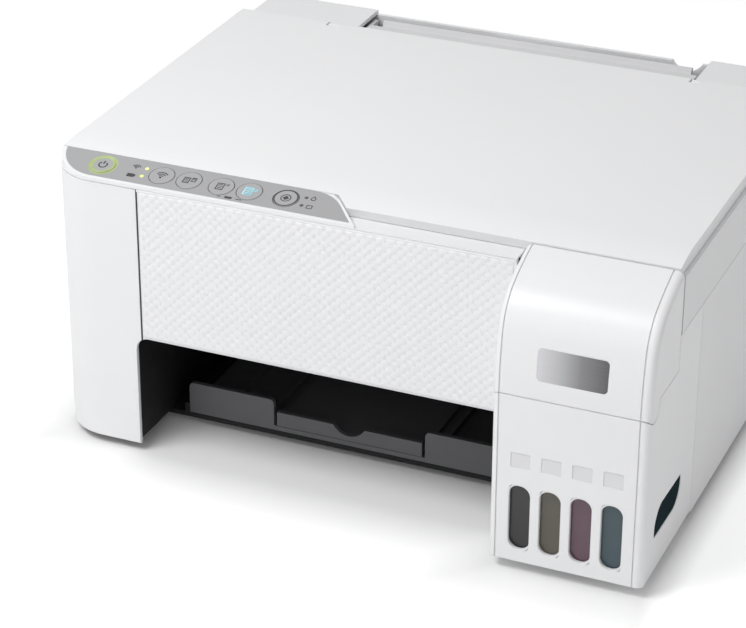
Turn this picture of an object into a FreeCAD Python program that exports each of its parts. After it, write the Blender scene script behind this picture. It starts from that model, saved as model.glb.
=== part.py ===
"""Ink-tank printer with a flatbed scanner: a parametric assembly of separate pieces, in millimetres.

The origin is the middle of the footprint on the table, +X to the right, +Y to the back and +Z up.
"""
import FreeCAD, Part
import math
import os
from types import SimpleNamespace

import Sketcher

Vector = FreeCAD.Vector
Rotation = FreeCAD.Rotation

SIZES = {
    # Outer box, walls and gaps
    "width": 375.0,
    "depth": 347.0,
    "height": 179.0,
    "foot_height": 5.0,
    "foot_radius": 8.0,
    "wall": 2.5,
    "seam": 0.3,
    "shaft_play": 0.05,
    "floor_thickness": 3.0,
    # Front wall, left corner and paper outlet
    "front_setback": 34.5,
    "corner_width": 59.5,
    "corner_radius": 30.0,
    "corner_column": 39.0,
    "front_drop": 9.3,
    "slot_inset": 3.5,
    "slot_top": 76.0,
    "slot_round": 8.0,
    "tray_setback": 41.0,
    # Ink tank, its housing and its cover
    "tank_width": 88.0,
    "tank_bottom": 6.6,
    "tank_side_depth": 87.5,
    "cover_pivot_in": 6.0,
    "cover_pivot_height": 114.0,
    "cover_seam_height": 109.0,
    "cover_flap_bottom": 116.5,
    "cover_depth": 46.7,
    "cover_wall": 2.2,
    "cover_drop": 4.0,
    "cover_round": 4.0,
    "window_width": 12.2,
    "window_height": 40.0,
    "window_bottom": 14.2,
    "window_round": 6.0,
    "window_corner": 2.5,
    "window_first": 17.2,
    "window_last": 18.6,
    "label_height": 8.6,
    "label_bottom": 65.5,
    "badge_width": 39.0,
    "badge_height": 18.5,
    "badge_bottom": 120.0,
    "tank_top": 104.0,
    "ink_level": 62.0,
    "neck_radius": 5.5,
    "neck_bore": 4.0,
    "neck_height": 6.0,
    # Scanner unit and document lid
    "scanner_drop": 41.8,
    "scanner_wall": 2.2,
    "heel_round": 4.0,
    "rim_drop": 8.0,
    "rim_thickness": 2.5,
    "lift_gap": 2.2,
    "scan_hinge_setback": 56.5,
    "scan_hinge_drop": 15.0,
    "scan_pin_radius": 3.0,
    "lid_hinge_setback": 54.0,
    "lid_pin_radius": 1.5,
    "lid_gap": 0.3,
    "lid_skin": 2.5,
    "droop_length": 25.0,
    "droop_radius": 105.0,
    "glass_side_gap": 34.5,
    "glass_front_gap": 35.0,
    "glass_thickness": 2.5,
    "glass_hold": 4.0,
    "sensor_width": 20.0,
    "rod_radius": 3.0,
    # Control panel and buttons
    "panel_slope": 14.0,
    "panel_depth": 21.0,
    "panel_thickness": 1.6,
    "panel_border": 2.0,
    "button_radius": 7.3,
    "button_gap": 0.35,
    "button_depth": 2.3,
    # Rear feeder
    "deck_front": 46.0,
    "deck_drop": 8.5,
    "feeder_half": 110.0,
    "feeder_lean": 27.0,
    "feeder_drop": 11.0,
    "feeder_top_setback": 15.5,
    "hopper_thickness": 2.5,
    "hopper_length": 113.0,
    "support_thickness": 3.0,
    "support_length": 92.0,
    "pickup_radius": 14.0,
    "guard_length": 15.0,
    "guard_thickness": 2.4,
    # Paper path and carriage drive
    "path_height": 54.0,
    "feed_y": 30.0,
    "gear_module": 1.0,
    "feed_roller_radius": 6.0,
    "exit_roller_radius": 5.0,
    "roller_shaft_radius": 3.0,
    "chassis_gap": 9.2,
    "carriage_length": 70.0,
    "carriage_bottom": 68.0,
    "carriage_height": 50.0,
    "shaft_radius": 4.0,
    "pulley_radius": 6.0,
    "belt_thickness": 1.0,
    "belt_width": 2.8,
    "sheet_thickness": 1.5,
}

doc = FreeCAD.newDocument("ink_tank_printer")
sheet = doc.addObject("Spreadsheet::Sheet", "Sizes")
for row, (alias, number) in enumerate(SIZES.items(), start=1):
    sheet.set(f"A{row}", alias.replace("_", " "))
    sheet.set(f"B{row}", str(number))
    sheet.setAlias(f"B{row}", alias)
doc.recompute()


class Size:
    """A length that carries its number and its expression over the spreadsheet."""

    def __init__(self, text, number):
        self.text = text
        self.number = float(number)

    def __float__(self):
        return self.number

    def __neg__(self):
        return Size(f"(-1 * {self.text})", -self.number)

    def __add__(self, other):
        other = as_size(other)
        return Size(f"({self.text} + {other.text})", self.number + other.number)

    def __sub__(self, other):
        other = as_size(other)
        return Size(f"({self.text} - {other.text})", self.number - other.number)

    def __mul__(self, other):
        other = as_size(other)
        return Size(f"({self.text} * {other.text})", self.number * other.number)

    def __truediv__(self, other):
        other = as_size(other)
        return Size(f"({self.text} / {other.text})", self.number / other.number)

    def __radd__(self, other):
        return as_size(other) + self

    def __rsub__(self, other):
        return as_size(other) - self

    def __rmul__(self, other):
        return as_size(other) * self


def as_size(value):
    if isinstance(value, Size):
        return value
    return Size(f"({float(value)!r})", value)


def cosine(angle):
    return Size(f"cos({angle.text} * 1 deg)", math.cos(math.radians(angle.number)))


def sine(angle):
    return Size(f"sin({angle.text} * 1 deg)", math.sin(math.radians(angle.number)))


d = SimpleNamespace(**{alias: Size(f"Sizes.{alias}", sheet.get(alias)) for alias in SIZES})


def bind(thing, prop, value):
    thing.setExpression(prop, as_size(value).text)


# Solids bound to the sheet

PLANES = {"XY": "XY_Plane", "XZ": "XZ_Plane", "YZ": "YZ_Plane"}
TURNS = {
    "x": Rotation(Vector(0, 1, 0), 90),
    "y": Rotation(Vector(1, 0, 0), -90),
    "z": Rotation(),
}


def box(name, x, y, z):
    """A block between a low and a high place on each axis."""
    block = doc.addObject("Part::Box", name)
    for prop, axis, (low, high) in zip(("Length", "Width", "Height"), "xyz", (x, y, z)):
        bind(block, prop, as_size(high) - low)
        bind(block, f"Placement.Base.{axis}", low)
    return block


def rod(name, axis, span, centre, radius):
    """A cylinder along one axis, with the other two coordinates of its axis in centre."""
    low, high = span
    cylinder = doc.addObject("Part::Cylinder", name)
    bind(cylinder, "Radius", radius)
    bind(cylinder, "Height", as_size(high) - low)
    cylinder.Placement = FreeCAD.Placement(Vector(), TURNS[axis])
    places = dict(zip([a for a in "xyz" if a != axis], centre))
    places[axis] = low
    for letter, place in places.items():
        bind(cylinder, f"Placement.Base.{letter}", place)
    return cylinder


def draw(body, name, plane, points, offset):
    """A closed sketch of straight lines with each corner held at its place."""
    sketch = body.newObject("Sketcher::SketchObject", name)
    support = [f for f in body.Origin.OriginFeatures if f.Role == PLANES[plane]][0]
    sketch.AttachmentSupport = [(support, "")]
    sketch.MapMode = "FlatFace"
    bind(sketch, "AttachmentOffset.Base.z", offset)
    corners = [(as_size(u), as_size(v)) for u, v in points]
    count = len(corners)
    ends = [Vector(float(u), float(v), 0) for u, v in corners]
    for i in range(count):
        sketch.addGeometry(Part.LineSegment(ends[i], ends[(i + 1) % count]), False)
    for i in range(count):
        sketch.addConstraint(Sketcher.Constraint("Coincident", i, 2, (i + 1) % count, 1))
    for i, (u, v) in enumerate(corners):
        for kind, place in (("DistanceX", u), ("DistanceY", v)):
            index = sketch.addConstraint(Sketcher.Constraint(kind, -1, 1, i, 1, float(place)))
            bind(sketch, f"Constraints[{index}]", place)
    return sketch


def pad(name, plane, points, span):
    """A body padded from a drawn outline between two places along the plane's axis."""
    low, high = as_size(span[0]), as_size(span[1])
    body = doc.addObject("PartDesign::Body", name)
    start = -high if plane == "XZ" else low
    sketch = draw(body, f"{name}_outline", plane, points, start)
    feature = body.newObject("PartDesign::Pad", f"{name}_pad")
    feature.Profile = sketch
    bind(feature, "Length", high - low)
    doc.recompute()
    return body


def edges_where(shape, test):
    """Names of the edges whose midpoint and direction pass a test."""
    names = []
    for i, edge in enumerate(shape.Edges, start=1):
        middle = edge.valueAt((edge.FirstParameter + edge.LastParameter) / 2)
        ends = edge.valueAt(edge.LastParameter) - edge.valueAt(edge.FirstParameter)
        if test(middle, ends):
            names.append(f"Edge{i}")
    return names


def near(a, b):
    return abs(float(a) - float(b)) < 0.02


def upright(run):
    return abs(run.x) < 0.01 and abs(run.y) < 0.01


def round_body(body, radius, test):
    """Fillets the edges of a body that pass a test."""
    doc.recompute()
    base = body.Tip
    fillet = body.newObject("PartDesign::Fillet", f"{body.Name}_round")
    fillet.Base = (base, edges_where(base.Shape, test))
    bind(fillet, "Radius", radius)
    doc.recompute()
    return body


def hollow_body(body, thickness, test):
    """Opens a body at the face that passes a test and leaves walls of one thickness inside."""
    doc.recompute()
    base = body.Tip
    faces = [f"Face{i}" for i, face in enumerate(base.Shape.Faces, start=1) if test(face)]
    shell = body.newObject("PartDesign::Thickness", f"{body.Name}_shell")
    shell.Base = (base, faces)
    bind(shell, "Value", thickness)
    shell.Reversed = True
    shell.Join = 1
    doc.recompute()
    return body


def round_solid(name, base, radius, test):
    """Fillets the edges of a boolean or primitive that pass a test."""
    doc.recompute()
    fillet = doc.addObject("Part::Fillet", name)
    fillet.Base = base
    size = float(radius)
    fillet.Edges = [(int(edge[4:]), size, size) for edge in edges_where(base.Shape, test)]
    doc.recompute()
    return fillet


def join(name, *solids):
    whole = doc.addObject("Part::MultiFuse", name)
    whole.Shapes = list(solids)
    whole.Refine = True
    return whole


def group(name, *solids):
    whole = doc.addObject("Part::Compound", name)
    whole.Links = list(solids)
    return whole


def cut(name, base, *tools):
    rest = doc.addObject("Part::Cut", name)
    rest.Base = base
    rest.Tool = tools[0] if len(tools) == 1 else join(f"{name}_tools", *tools)
    rest.Refine = True
    return rest


def common(name, first, second):
    shared = doc.addObject("Part::Common", name)
    shared.Base = first
    shared.Tool = second
    return shared


def shaped(name, shape):
    thing = doc.addObject("Part::Feature", name)
    thing.Shape = shape
    return thing


nodes = {}


def piece(node, thing):
    """Names the solid that stands for one physical piece."""
    thing.Label = node
    nodes[node] = thing
    return thing


# Main planes

right = d.width / 2
left = -right
back = d.depth / 2
front = -back
inner_left = left + d.wall + d.seam
inner_right = right - d.wall - d.seam
inner_back = back - d.wall - d.seam
face = front + d.front_setback
face_in = face + d.wall
corner_x = left + d.corner_width
slot_left = corner_x - d.slot_inset
tank_left = right - d.tank_width
slot_right = tank_left - d.seam
floor_top = d.foot_height + d.floor_thickness
tray_front = face + d.tray_setback
side_seam = front + d.tank_side_depth
column_back = face + d.corner_column
deck_y = back - d.deck_front
scan_hinge_y = back - d.scan_hinge_setback
lid_hinge_y = back - d.lid_hinge_setback
front_top = d.height - d.front_drop
rim_top = d.height - d.rim_drop
deck_top = d.height - d.deck_drop
feeder_top = d.height - d.feeder_drop
scanner_seam = d.height - d.scanner_drop
scan_hinge_z = d.height - d.scan_hinge_drop
lid_bottom = rim_top + d.lid_gap
lid_half = (d.height - lid_bottom) / 2
lid_hinge_z = lid_bottom + lid_half
rear_wall_y = scan_hinge_y + 5


# Base: pan, feet and screws

base_outline = [
    (inner_left, face + 35),
    (inner_left + 15, face + 12),
    (slot_left - d.wall - d.seam, face + 12),
    (slot_left - d.wall - d.seam, tray_front),
    (slot_right, tray_front),
    (slot_right, side_seam + d.seam),
    (inner_right, side_seam + d.seam),
    (inner_right, inner_back),
    (inner_left, inner_back),
]
tray_left = slot_left + 12
tray_right = slot_right - 12
rim_height = 12
rim_z = (floor_top - 0.5, floor_top + rim_height)
rail_z = (floor_top - 0.5, floor_top + 6)
rail_y = (tray_front, tray_front + 150)
base_floor = pad("base_floor", "XY", base_outline, (d.foot_height, floor_top))
base_ribs = [
    box("left_rim", (inner_left, inner_left + 2), (face + 60, inner_back - 20), rim_z),
    box("right_rim", (inner_right - 2, inner_right), (side_seam + 20, inner_back - 20), rim_z),
    box("rear_rim", (inner_left + 20, inner_right - 20), (inner_back - 2, inner_back), rim_z),
    box("left_rail", (tray_left - d.seam - 3, tray_left - d.seam), rail_y, rail_z),
    box("right_rail", (tray_right + d.seam, tray_right + d.seam + 3), rail_y, rail_z),
]
screw_z = floor_top + 6
screw_x = [side * (right - reach) for side in (-1, 1) for reach in (45, 115)]
screw_radius = 1.5
head_radius = 3.2
head_depth = 1.3
base_ribs += [
    box(f"screw_boss_{i}", (x - 4, x + 4), (inner_back - 10, inner_back), rim_z)
    for i, x in enumerate(screw_x, start=1)
]
screw_bores = [
    rod(f"screw_bore_{i}", "y", (inner_back - 12, back + 5), (x, screw_z), screw_radius + d.shaft_play)
    for i, x in enumerate(screw_x, start=1)
]
head_bores = [
    rod(f"head_bore_{i}", "y", (back - head_depth - 0.2, back + 5), (x, screw_z), head_radius + d.seam)
    for i, x in enumerate(screw_x, start=1)
]
screws = []
for i, x in enumerate(screw_x, start=1):
    shank = rod(f"shank_{i}", "y", (inner_back - 8, back - 1), (x, screw_z), screw_radius)
    head = rod(f"head_{i}", "y", (back - head_depth - 0.2, back - 0.2), (x, screw_z), head_radius)
    drive = box(
        f"drive_{i}", (x - 2, x + 2), (back - 0.8, back + 5), (screw_z - 0.4, screw_z + 0.4))
    screws.append(cut(f"screw_{i}", join(f"screw_blank_{i}", shank, head), drive))
piece("housing_screws", group("housing_screws", *screws))
piece("base_pan", cut("base_pan", join("base_solid", base_floor, *base_ribs), *screw_bores))

foot_places = [
    (inner_left + 28, face + 30, d.foot_height),
    (right - 40, front + 24, d.tank_bottom),
    (inner_left + 28, back - 30, d.foot_height),
    (right - 30, back - 30, d.foot_height),
]
feet = []
for i, (x, y, top) in enumerate(foot_places, start=1):
    foot = doc.addObject("Part::Cone", f"foot_{i}")
    bind(foot, "Radius1", d.foot_radius - 1)
    bind(foot, "Radius2", d.foot_radius)
    bind(foot, "Height", top)
    bind(foot, "Placement.Base.x", x)
    bind(foot, "Placement.Base.y", y)
    feet.append(foot)
piece("rubber_feet", group("rubber_feet", *feet))


# Outer covers

slot_box = box("slot_space", (slot_left, slot_right + 60), (face - 20, face_in + 30), (-10, d.slot_top))
slot_void = round_solid(
    "slot_void", slot_box, d.slot_round,
    lambda m, run: near(m.x, slot_left) and near(m.z, d.slot_top),
)

left_outline = [
    (corner_x, face),
    (corner_x, face_in),
    (left + d.wall, face_in),
    (left + d.wall, inner_back),
    (left, inner_back),
    (left, face),
]
left_shell = pad("left_shell", "XY", left_outline, (d.foot_height, front_top))
round_body(left_shell, d.corner_radius, lambda m, run: upright(run) and near(m.x, left) and near(m.y, face))
round_body(
    left_shell, d.corner_radius - d.wall,
    lambda m, run: upright(run) and near(m.x, left + d.wall) and near(m.y, face_in),
)
left_notch = box("left_notch", (left - 1, left + 10), (column_back, back), (scanner_seam, d.height))
left_trimmed = cut("left_trimmed", left_shell, slot_void, left_notch)
piece("left_side_cover", round_solid(
    "left_side_cover", left_trimmed, 1.2,
    lambda m, run: near(m.z, d.foot_height) and (near(m.x, left) or near(m.y, face)),
))

right_plate = box(
    "right_plate", (right - d.wall, right), (side_seam + d.seam, inner_back), (d.foot_height, scanner_seam))
right_ribs = [
    box(f"right_rib_{i}", (right - d.wall - 3, right - d.wall + 0.5), (y, y + 1.6), (30, scanner_seam - 8))
    for i, y in enumerate([side_seam + 30 + step * 60 for step in range(4)], start=1)
]
piece("right_side_cover", join("right_side_cover", right_plate, *right_ribs))

panel_plate = box(
    "panel_plate", (corner_x + d.seam, slot_right), (face, face_in), (d.slot_top - d.slot_round, front_top))
panel_brace = box(
    "panel_brace", (corner_x + 6, slot_right - 3), (face_in - 0.5, face_in + 4),
    (d.slot_top + 3, d.slot_top + 5))
piece("front_panel", join("front_panel", cut("panel_trimmed", panel_plate, slot_void), panel_brace))

deck_inner = d.feeder_half + d.wall + d.seam
wing_z = (scanner_seam + d.seam, deck_top)
hood = []
for side, name in ((-1, "left"), (1, "right")):
    outer, inner = side * right, side * (right - d.wall)
    wing_x = (outer, inner) if side < 0 else (inner, outer)
    deck_x = (outer, side * deck_inner) if side < 0 else (side * deck_inner, outer)
    ear_x = side * (right - 37.5)
    hood += [
        box(f"{name}_wing", wing_x, (deck_y, back), wing_z),
        box(f"{name}_deck", deck_x, (deck_y, back), (deck_top - d.wall, deck_top)),
        box(f"{name}_deck_wall", deck_x, (deck_y, deck_y + d.wall), wing_z),
        box(f"{name}_ear_tail", (ear_x - 4, ear_x + 4), (scan_hinge_y, deck_y + 1),
            (scan_hinge_z - 7, scan_hinge_z - 2)),
        rod(f"{name}_ear", "x", (ear_x - 4, ear_x + 4), (scan_hinge_y, scan_hinge_z),
            d.scan_pin_radius + 2),
    ]
back_wall = box("back_wall", (left, right), (back - d.wall, back), (d.foot_height, feeder_top))
hinge_bore = rod("hinge_bore", "x", (left, right), (scan_hinge_y, scan_hinge_z),
                 d.scan_pin_radius + d.shaft_play)
finger_scoop = rod("finger_scoop", "y", (back - 10, back + 10), (d.feeder_half - 12, feeder_top + 5), 11)
inlet_x = right - 40
inlet_hole = box("inlet_hole", (inlet_x - 12, inlet_x + 12), (back - 10, back + 10), (22, 40))
socket_x = left + 20
socket_hole = box("socket_hole", (socket_x - 7, socket_x + 7), (back - 10, back + 10), (44, 58))
vents = [
    box(f"vent_{i}", (x, x + 3), (back - 10, back + 10), (60, 84))
    for i, x in enumerate([right - 70 + step * 7 for step in range(8)], start=1)
]
rear_solid = join("rear_solid", back_wall, *hood)
rear_tools = [hinge_bore, finger_scoop, inlet_hole, socket_hole, *vents, *screw_bores, *head_bores]
rear_trimmed = cut("rear_trimmed", rear_solid, *rear_tools)
piece("rear_cover", round_solid(
    "rear_cover", rear_trimmed, 2.4,
    lambda m, run: abs(run.x) > 20 and near(m.y, deck_y) and near(m.z, deck_top),
))


# Rear feeder: hopper, paper support, guard and edge guide

lean_sin = sine(d.feeder_lean)
lean_cos = cosine(d.feeder_lean)
feeder_top_y = back - d.feeder_top_setback


def on_feeder(along, behind):
    """The (y, z) place at a distance up the leaning paper plane and a distance behind it."""
    return (
        feeder_top_y + along * lean_sin + behind * lean_cos,
        feeder_top + along * lean_cos - behind * lean_sin,
    )


def leaning_plate(name, x, along, behind):
    corners = [
        on_feeder(along[0], behind[0]),
        on_feeder(along[1], behind[0]),
        on_feeder(along[1], behind[1]),
        on_feeder(along[0], behind[1]),
    ]
    return pad(name, "YZ", corners, x)


hopper_foot = as_size(0) - d.hopper_length
pickup_y, pickup_z = on_feeder(hopper_foot + 13, as_size(0) - d.pickup_radius - 0.4)
guard_y = back - 35.5
guard_z = feeder_top - 1.5
cheek_outline = [
    (deck_y + 2.5, feeder_top - 2),
    (back - 6, feeder_top - 2),
    (back - 60, 58),
    (pickup_y - 18, 58),
    (pickup_y - 18, pickup_z + 18),
    (pickup_y, pickup_z + 34),
    (deck_y + 2.5, scanner_seam - 3),
]
hopper_solids = [leaning_plate(
    "hopper_plate", (-d.feeder_half - 1, d.feeder_half + 1),
    (hopper_foot, as_size(-3)), (as_size(0), d.hopper_thickness))]
for side, name in ((-1, "left"), (1, "right")):
    x = (-d.feeder_half - d.wall, -d.feeder_half) if side < 0 else (d.feeder_half, d.feeder_half + d.wall)
    hopper_solids.append(pad(f"{name}_cheek", "YZ", cheek_outline, x))
hopper_bores = [
    rod("pickup_bore", "x", (left, right), (pickup_y, pickup_z), d.roller_shaft_radius + d.shaft_play),
    rod("guard_bore", "x", (left, right), (guard_y, guard_z), d.lid_pin_radius + d.shaft_play),
]
piece("feeder_hopper", cut("feeder_hopper", join("hopper_solid", *hopper_solids), *hopper_bores))

support_front = d.hopper_thickness + d.seam
support_plate = leaning_plate(
    "support_plate", (6 - d.feeder_half, d.feeder_half - 6), (as_size(0) - d.support_length, as_size(2.5)),
    (support_front, support_front + d.support_thickness))
support_lip = leaning_plate(
    "support_lip", (as_size(-30), as_size(30)), (as_size(-1), as_size(2.5)),
    (support_front + d.support_thickness - 0.5, support_front + d.support_thickness + 4))
piece("paper_support", join("paper_support", support_plate, support_lip))

guard_half = d.feeder_half - d.seam
guard_plate = box(
    "guard_plate", (-guard_half, guard_half), (guard_y, guard_y + d.guard_length),
    (guard_z - d.guard_thickness / 2, guard_z + d.guard_thickness / 2))
guard_barrel = rod(
    "guard_barrel", "x", (-guard_half, guard_half), (guard_y, guard_z), d.lid_pin_radius + 0.6)
guard_pin = rod(
    "guard_pin", "x", (-d.feeder_half - 2, d.feeder_half + 2), (guard_y, guard_z), d.lid_pin_radius)
piece("feeder_guard", join("feeder_guard", guard_plate, guard_barrel, guard_pin))

guide_x = 4 - d.feeder_half
guide_fence = leaning_plate(
    "guide_fence", (guide_x, guide_x + 2.5), (as_size(-70), as_size(-20)), (as_size(-12), 0 - d.seam))
guide_shoe = leaning_plate(
    "guide_shoe", (guide_x, guide_x + 12), (as_size(-52), as_size(-38)), (as_size(-2.5), 0 - d.seam))
piece("edge_guide", join("edge_guide", guide_fence, guide_shoe))

pickup_roll = rod("pickup_roll", "x", (-22, 22), (pickup_y, pickup_z), d.pickup_radius)
pickup_shaft = rod(
    "pickup_shaft", "x", (-d.feeder_half - d.wall - 3, d.feeder_half + d.wall + 3), (pickup_y, pickup_z),
    d.roller_shaft_radius)
piece("pickup_roller", join("pickup_roller", pickup_roll, pickup_shaft))


# Output tray and its extension

tray_z = floor_top + d.seam
tray_length = 150
tray_y = (tray_front, tray_front + tray_length)
tray_plate = box("tray_plate", (tray_left, tray_right), tray_y, (tray_z, tray_z + 3))
lip_height = 20
tray_lip = box(
    "tray_lip", (tray_left, tray_right), (tray_front, tray_front + 3), (tray_z, tray_z + lip_height))
tray_middle = (tray_left + tray_right) / 2
tray_ribs = [
    box(f"tray_rib_{i}", (tray_middle + x - 1, tray_middle + x + 1), tray_y, (tray_z + 2.5, tray_z + 7))
    for i, x in enumerate((-80, -54, 54, 80), start=1)
]
tray_notch = box(
    "tray_notch", (tray_middle - 48, tray_middle + 48), (tray_front - 5, tray_front + 10),
    (tray_z + 3, tray_z + 90))
tray_solid = join("tray_solid", tray_plate, tray_lip, *tray_ribs)
tray_open = cut("tray_open", tray_solid, tray_notch)
piece("output_tray", round_solid(
    "output_tray", tray_open, 3,
    lambda m, run: near(run.x, 0) and near(run.z, 0) and near(m.z, tray_z + lip_height)
    and near(m.y, tray_front + 1.5),
))
slip_z = tray_z + 3 + d.seam
slip_x = (tray_middle - 46, tray_middle + 46)
slip_plate = box("slip_plate", slip_x, (tray_front, tray_front + 130), (slip_z, slip_z + 2.5))
slip_lip = box("slip_lip", slip_x, (tray_front, tray_front + 3), (slip_z, slip_z + 9))
slip_grip = rod("slip_grip", "y", (tray_front - 5, tray_front + 9), (tray_middle, slip_z + 14), 11)
piece("tray_extension", cut("tray_extension", join("slip_solid", slip_plate, slip_lip), slip_grip))


# Ink tank, its housing and its cover

pivot_y = front + d.cover_pivot_in
pivot_z = d.cover_pivot_height
barrel = math.hypot(float(d.cover_pivot_in), float(d.cover_pivot_height - d.cover_seam_height))
cover_back = front + d.cover_depth
window_pitch = (d.tank_width - d.window_first - d.window_last) / 3
window_x = [tank_left + d.window_first + window_pitch * k for k in range(4)]

housing_outline = [
    (front, d.tank_bottom),
    (front, d.cover_flap_bottom - d.seam),
    (cover_back + d.seam, d.cover_flap_bottom - d.seam),
    (cover_back + d.seam, scanner_seam),
    (side_seam, scanner_seam),
    (side_seam, d.tank_bottom),
]
housing_block = pad("housing_block", "YZ", housing_outline, (tank_left, right))
round_body(housing_block, 4, lambda m, run: upright(run) and near(m.y, front))
housing_tools = [
    box("housing_space", (tank_left + d.wall, right - d.wall), (front + d.wall, side_seam + 5),
        (d.tank_bottom + d.wall, d.height)),
    rod("barrel_space", "x", (tank_left - 5, right + 5), (pivot_y, pivot_z), barrel + 0.3),
]
window_middle = d.window_bottom + d.window_height / 2
for i, x in enumerate(window_x, start=1):
    half = d.window_width / 2
    window_top = d.window_bottom + d.window_height
    window = pad(f"window_{i}", "XZ", [
        (x - half, d.window_bottom),
        (x + half, d.window_bottom),
        (x + half, window_top),
        (x - half, window_top),
    ], (front - 5, front + d.wall + 1))
    round_body(
        window, d.window_round,
        lambda m, run, x=x: abs(run.y) > 1 and (float(x) - m.x) * (m.z - float(window_middle)) < 0)
    round_body(
        window, d.window_corner,
        lambda m, run, x=x, half=half: abs(run.y) > 1 and near(abs(m.x - float(x)), half)
        and (near(m.z, d.window_bottom) or near(m.z, d.window_bottom + d.window_height)))
    housing_tools += [
        window,
        box(f"label_{i}", (x - 5.5, x + 5.5), (front - 5, front + 0.4),
            (d.label_bottom, d.label_bottom + d.label_height)),
    ]
groove_left = tank_left + 4
groove_right = right - 5.7
for x, name in ((groove_left, "left"), (groove_right, "right")):
    housing_tools.append(box(f"{name}_groove", (x - 0.3, x + 0.3), (front - 1, front + 0.5), (0, d.height)))
leaf_outline = [
    (front + 63.5, 44),
    (front + 67.5, 27),
    (front + 17.5, 28.5),
    (front + 14, 46),
]
leaf_window = pad("leaf_window", "YZ", leaf_outline, (right - d.wall - 1, right + 5))
round_body(
    leaf_window, 13,
    lambda m, run: abs(run.x) > 1 and (near(m.y, front + 67.5) or near(m.y, front + 14)),
)
housing_tools.append(leaf_window)
ear_thickness = 2.7
flap_seat = d.cover_flap_bottom - d.seam
housing_ears = []
for side, name in ((1, "left"), (-1, "right")):
    wall_face = tank_left + d.wall if side > 0 else right - d.wall
    root_x = sorted((wall_face - side * 0.5, wall_face + side * (d.seam + ear_thickness)), key=float)
    arm_x = sorted((wall_face + side * d.seam, wall_face + side * (d.seam + ear_thickness)), key=float)
    root_y = pivot_y + barrel + 0.6
    housing_ears += [
        box(f"{name}_pivot_root", root_x, (root_y, root_y + 9), (d.tank_top + 2, flap_seat)),
        box(f"{name}_pivot_arm", arm_x, (pivot_y, root_y + 1), (pivot_z - 3, pivot_z + 2)),
        rod(f"{name}_pivot_eye", "x", arm_x, (pivot_y, pivot_z), 3.4),
    ]
pivot_bore = rod(
    "pivot_bore", "x", (tank_left + d.wall, right - d.wall), (pivot_y, pivot_z), 2 + d.shaft_play)
housing_cut = cut("housing_cut", housing_block, *housing_tools)
piece("tank_housing", cut("tank_housing", join("housing_eared", housing_cut, *housing_ears), pivot_bore))

tank_x = (tank_left + d.wall + 1, right - d.wall - d.seam)
tank_y = (front + d.wall + d.seam, front + 70)
tank_z = (d.tank_bottom + d.wall, d.tank_top)
neck_y = front + 28
cap_y = front + 40
cap_z = d.tank_top + 5
tank_block = box("tank_block", tank_x, tank_y, tank_z)
tank_skin = 1.6
chamber_y = (tank_y[0] + tank_skin, tank_y[1] - tank_skin)
chamber_z = (tank_z[0] + tank_skin, tank_z[1] - tank_skin)
chambers = []
for k, x in enumerate(window_x):
    low_x = tank_x[0] + tank_skin if k == 0 else x - window_pitch / 2 + tank_skin / 2
    high_x = tank_x[1] - tank_skin if k == 3 else x + window_pitch / 2 - tank_skin / 2
    chambers.append((low_x, high_x))
tank_adds = []
tank_cuts = []
for k, (x, (low_x, high_x)) in enumerate(zip(window_x, chambers), start=1):
    neck_z = (d.tank_top - 0.5, d.tank_top + d.neck_height)
    tank_adds.append(rod(f"neck_{k}", "z", neck_z, (x, neck_y), d.neck_radius))
    tank_cuts += [
        box(f"chamber_{k}", (low_x, high_x), chamber_y, chamber_z),
        rod(f"neck_bore_{k}", "z", (neck_z[0] - 5, neck_z[1] + 5), (x, neck_y), d.neck_bore),
    ]
post_x = [window_x[0] - window_pitch / 2 + window_pitch * k for k in range(5)]
for k, x in enumerate(post_x, start=1):
    tank_adds.append(box(
        f"cap_post_{k}", (x - 0.8, x + 0.8), (cap_y - 2.5, cap_y + 2.5), (d.tank_top - 0.5, cap_z + 2.5)))
tank_adds.append(rod("cap_rod", "x", (post_x[0] - 0.8, post_x[4] + 0.8), (cap_y, cap_z), 1.2))
tank_cut = cut("tank_cut", join("tank_solid", tank_block, *tank_adds[:4]), *tank_cuts)
piece("ink_tank", join("ink_tank", tank_cut, *tank_adds[4:]))

ink_gap = 0.15
for ink, (low_x, high_x) in zip(("black", "yellow", "magenta", "cyan"), chambers):
    piece(f"ink_{ink}", box(
        f"ink_{ink}", (low_x + ink_gap, high_x - ink_gap), (chamber_y[0] + ink_gap, chamber_y[1] - ink_gap),
        (chamber_z[0], d.ink_level)))

cap_rest = d.tank_top + d.neck_height + d.seam
for ink, x in zip(("black", "yellow", "magenta", "cyan"), window_x):
    cap_half = window_pitch / 2 - 1.6
    cap_solids = [
        box(f"{ink}_lever", (x - cap_half, x + cap_half), (neck_y - 8, cap_y), (cap_rest, cap_rest + 2)),
        box(f"{ink}_knee", (x - cap_half, x + cap_half), (cap_y - 2.4, cap_y + 2.4), (cap_z, cap_rest + 2)),
        rod(f"{ink}_barrel", "x", (x - cap_half, x + cap_half), (cap_y, cap_z), 2.4),
        rod(f"{ink}_plug", "z", (cap_rest - 4, cap_rest + 0.5), (x, neck_y), d.neck_bore - 1),
    ]
    cap_bore = rod(f"{ink}_cap_bore", "x", (x - 20, x + 20), (cap_y, cap_z), 1.2 + d.shaft_play)
    piece(f"tank_cap_{ink}", cut(f"tank_cap_{ink}", join(f"{ink}_cap_solid", *cap_solids), cap_bore))


def arc_by_turn(start, angle, turn, radius):
    """An arc that leaves start at a slope below the horizontal and steepens by turn; also its end."""
    def place(slope):
        return Vector(
            0,
            start.y - radius * (math.sin(slope) - math.sin(angle)),
            start.z - radius * (math.cos(angle) - math.cos(slope)),
        )
    end = place(angle + turn)
    return Part.Arc(start, place(angle + turn / 2), end).toShape(), end


COVER_SLOPE = math.radians(13)
COVER_TURNS = (math.radians(14), math.radians(51), math.radians(12))
COVER_RADII = (2.55, 0.64, 3.5)


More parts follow.
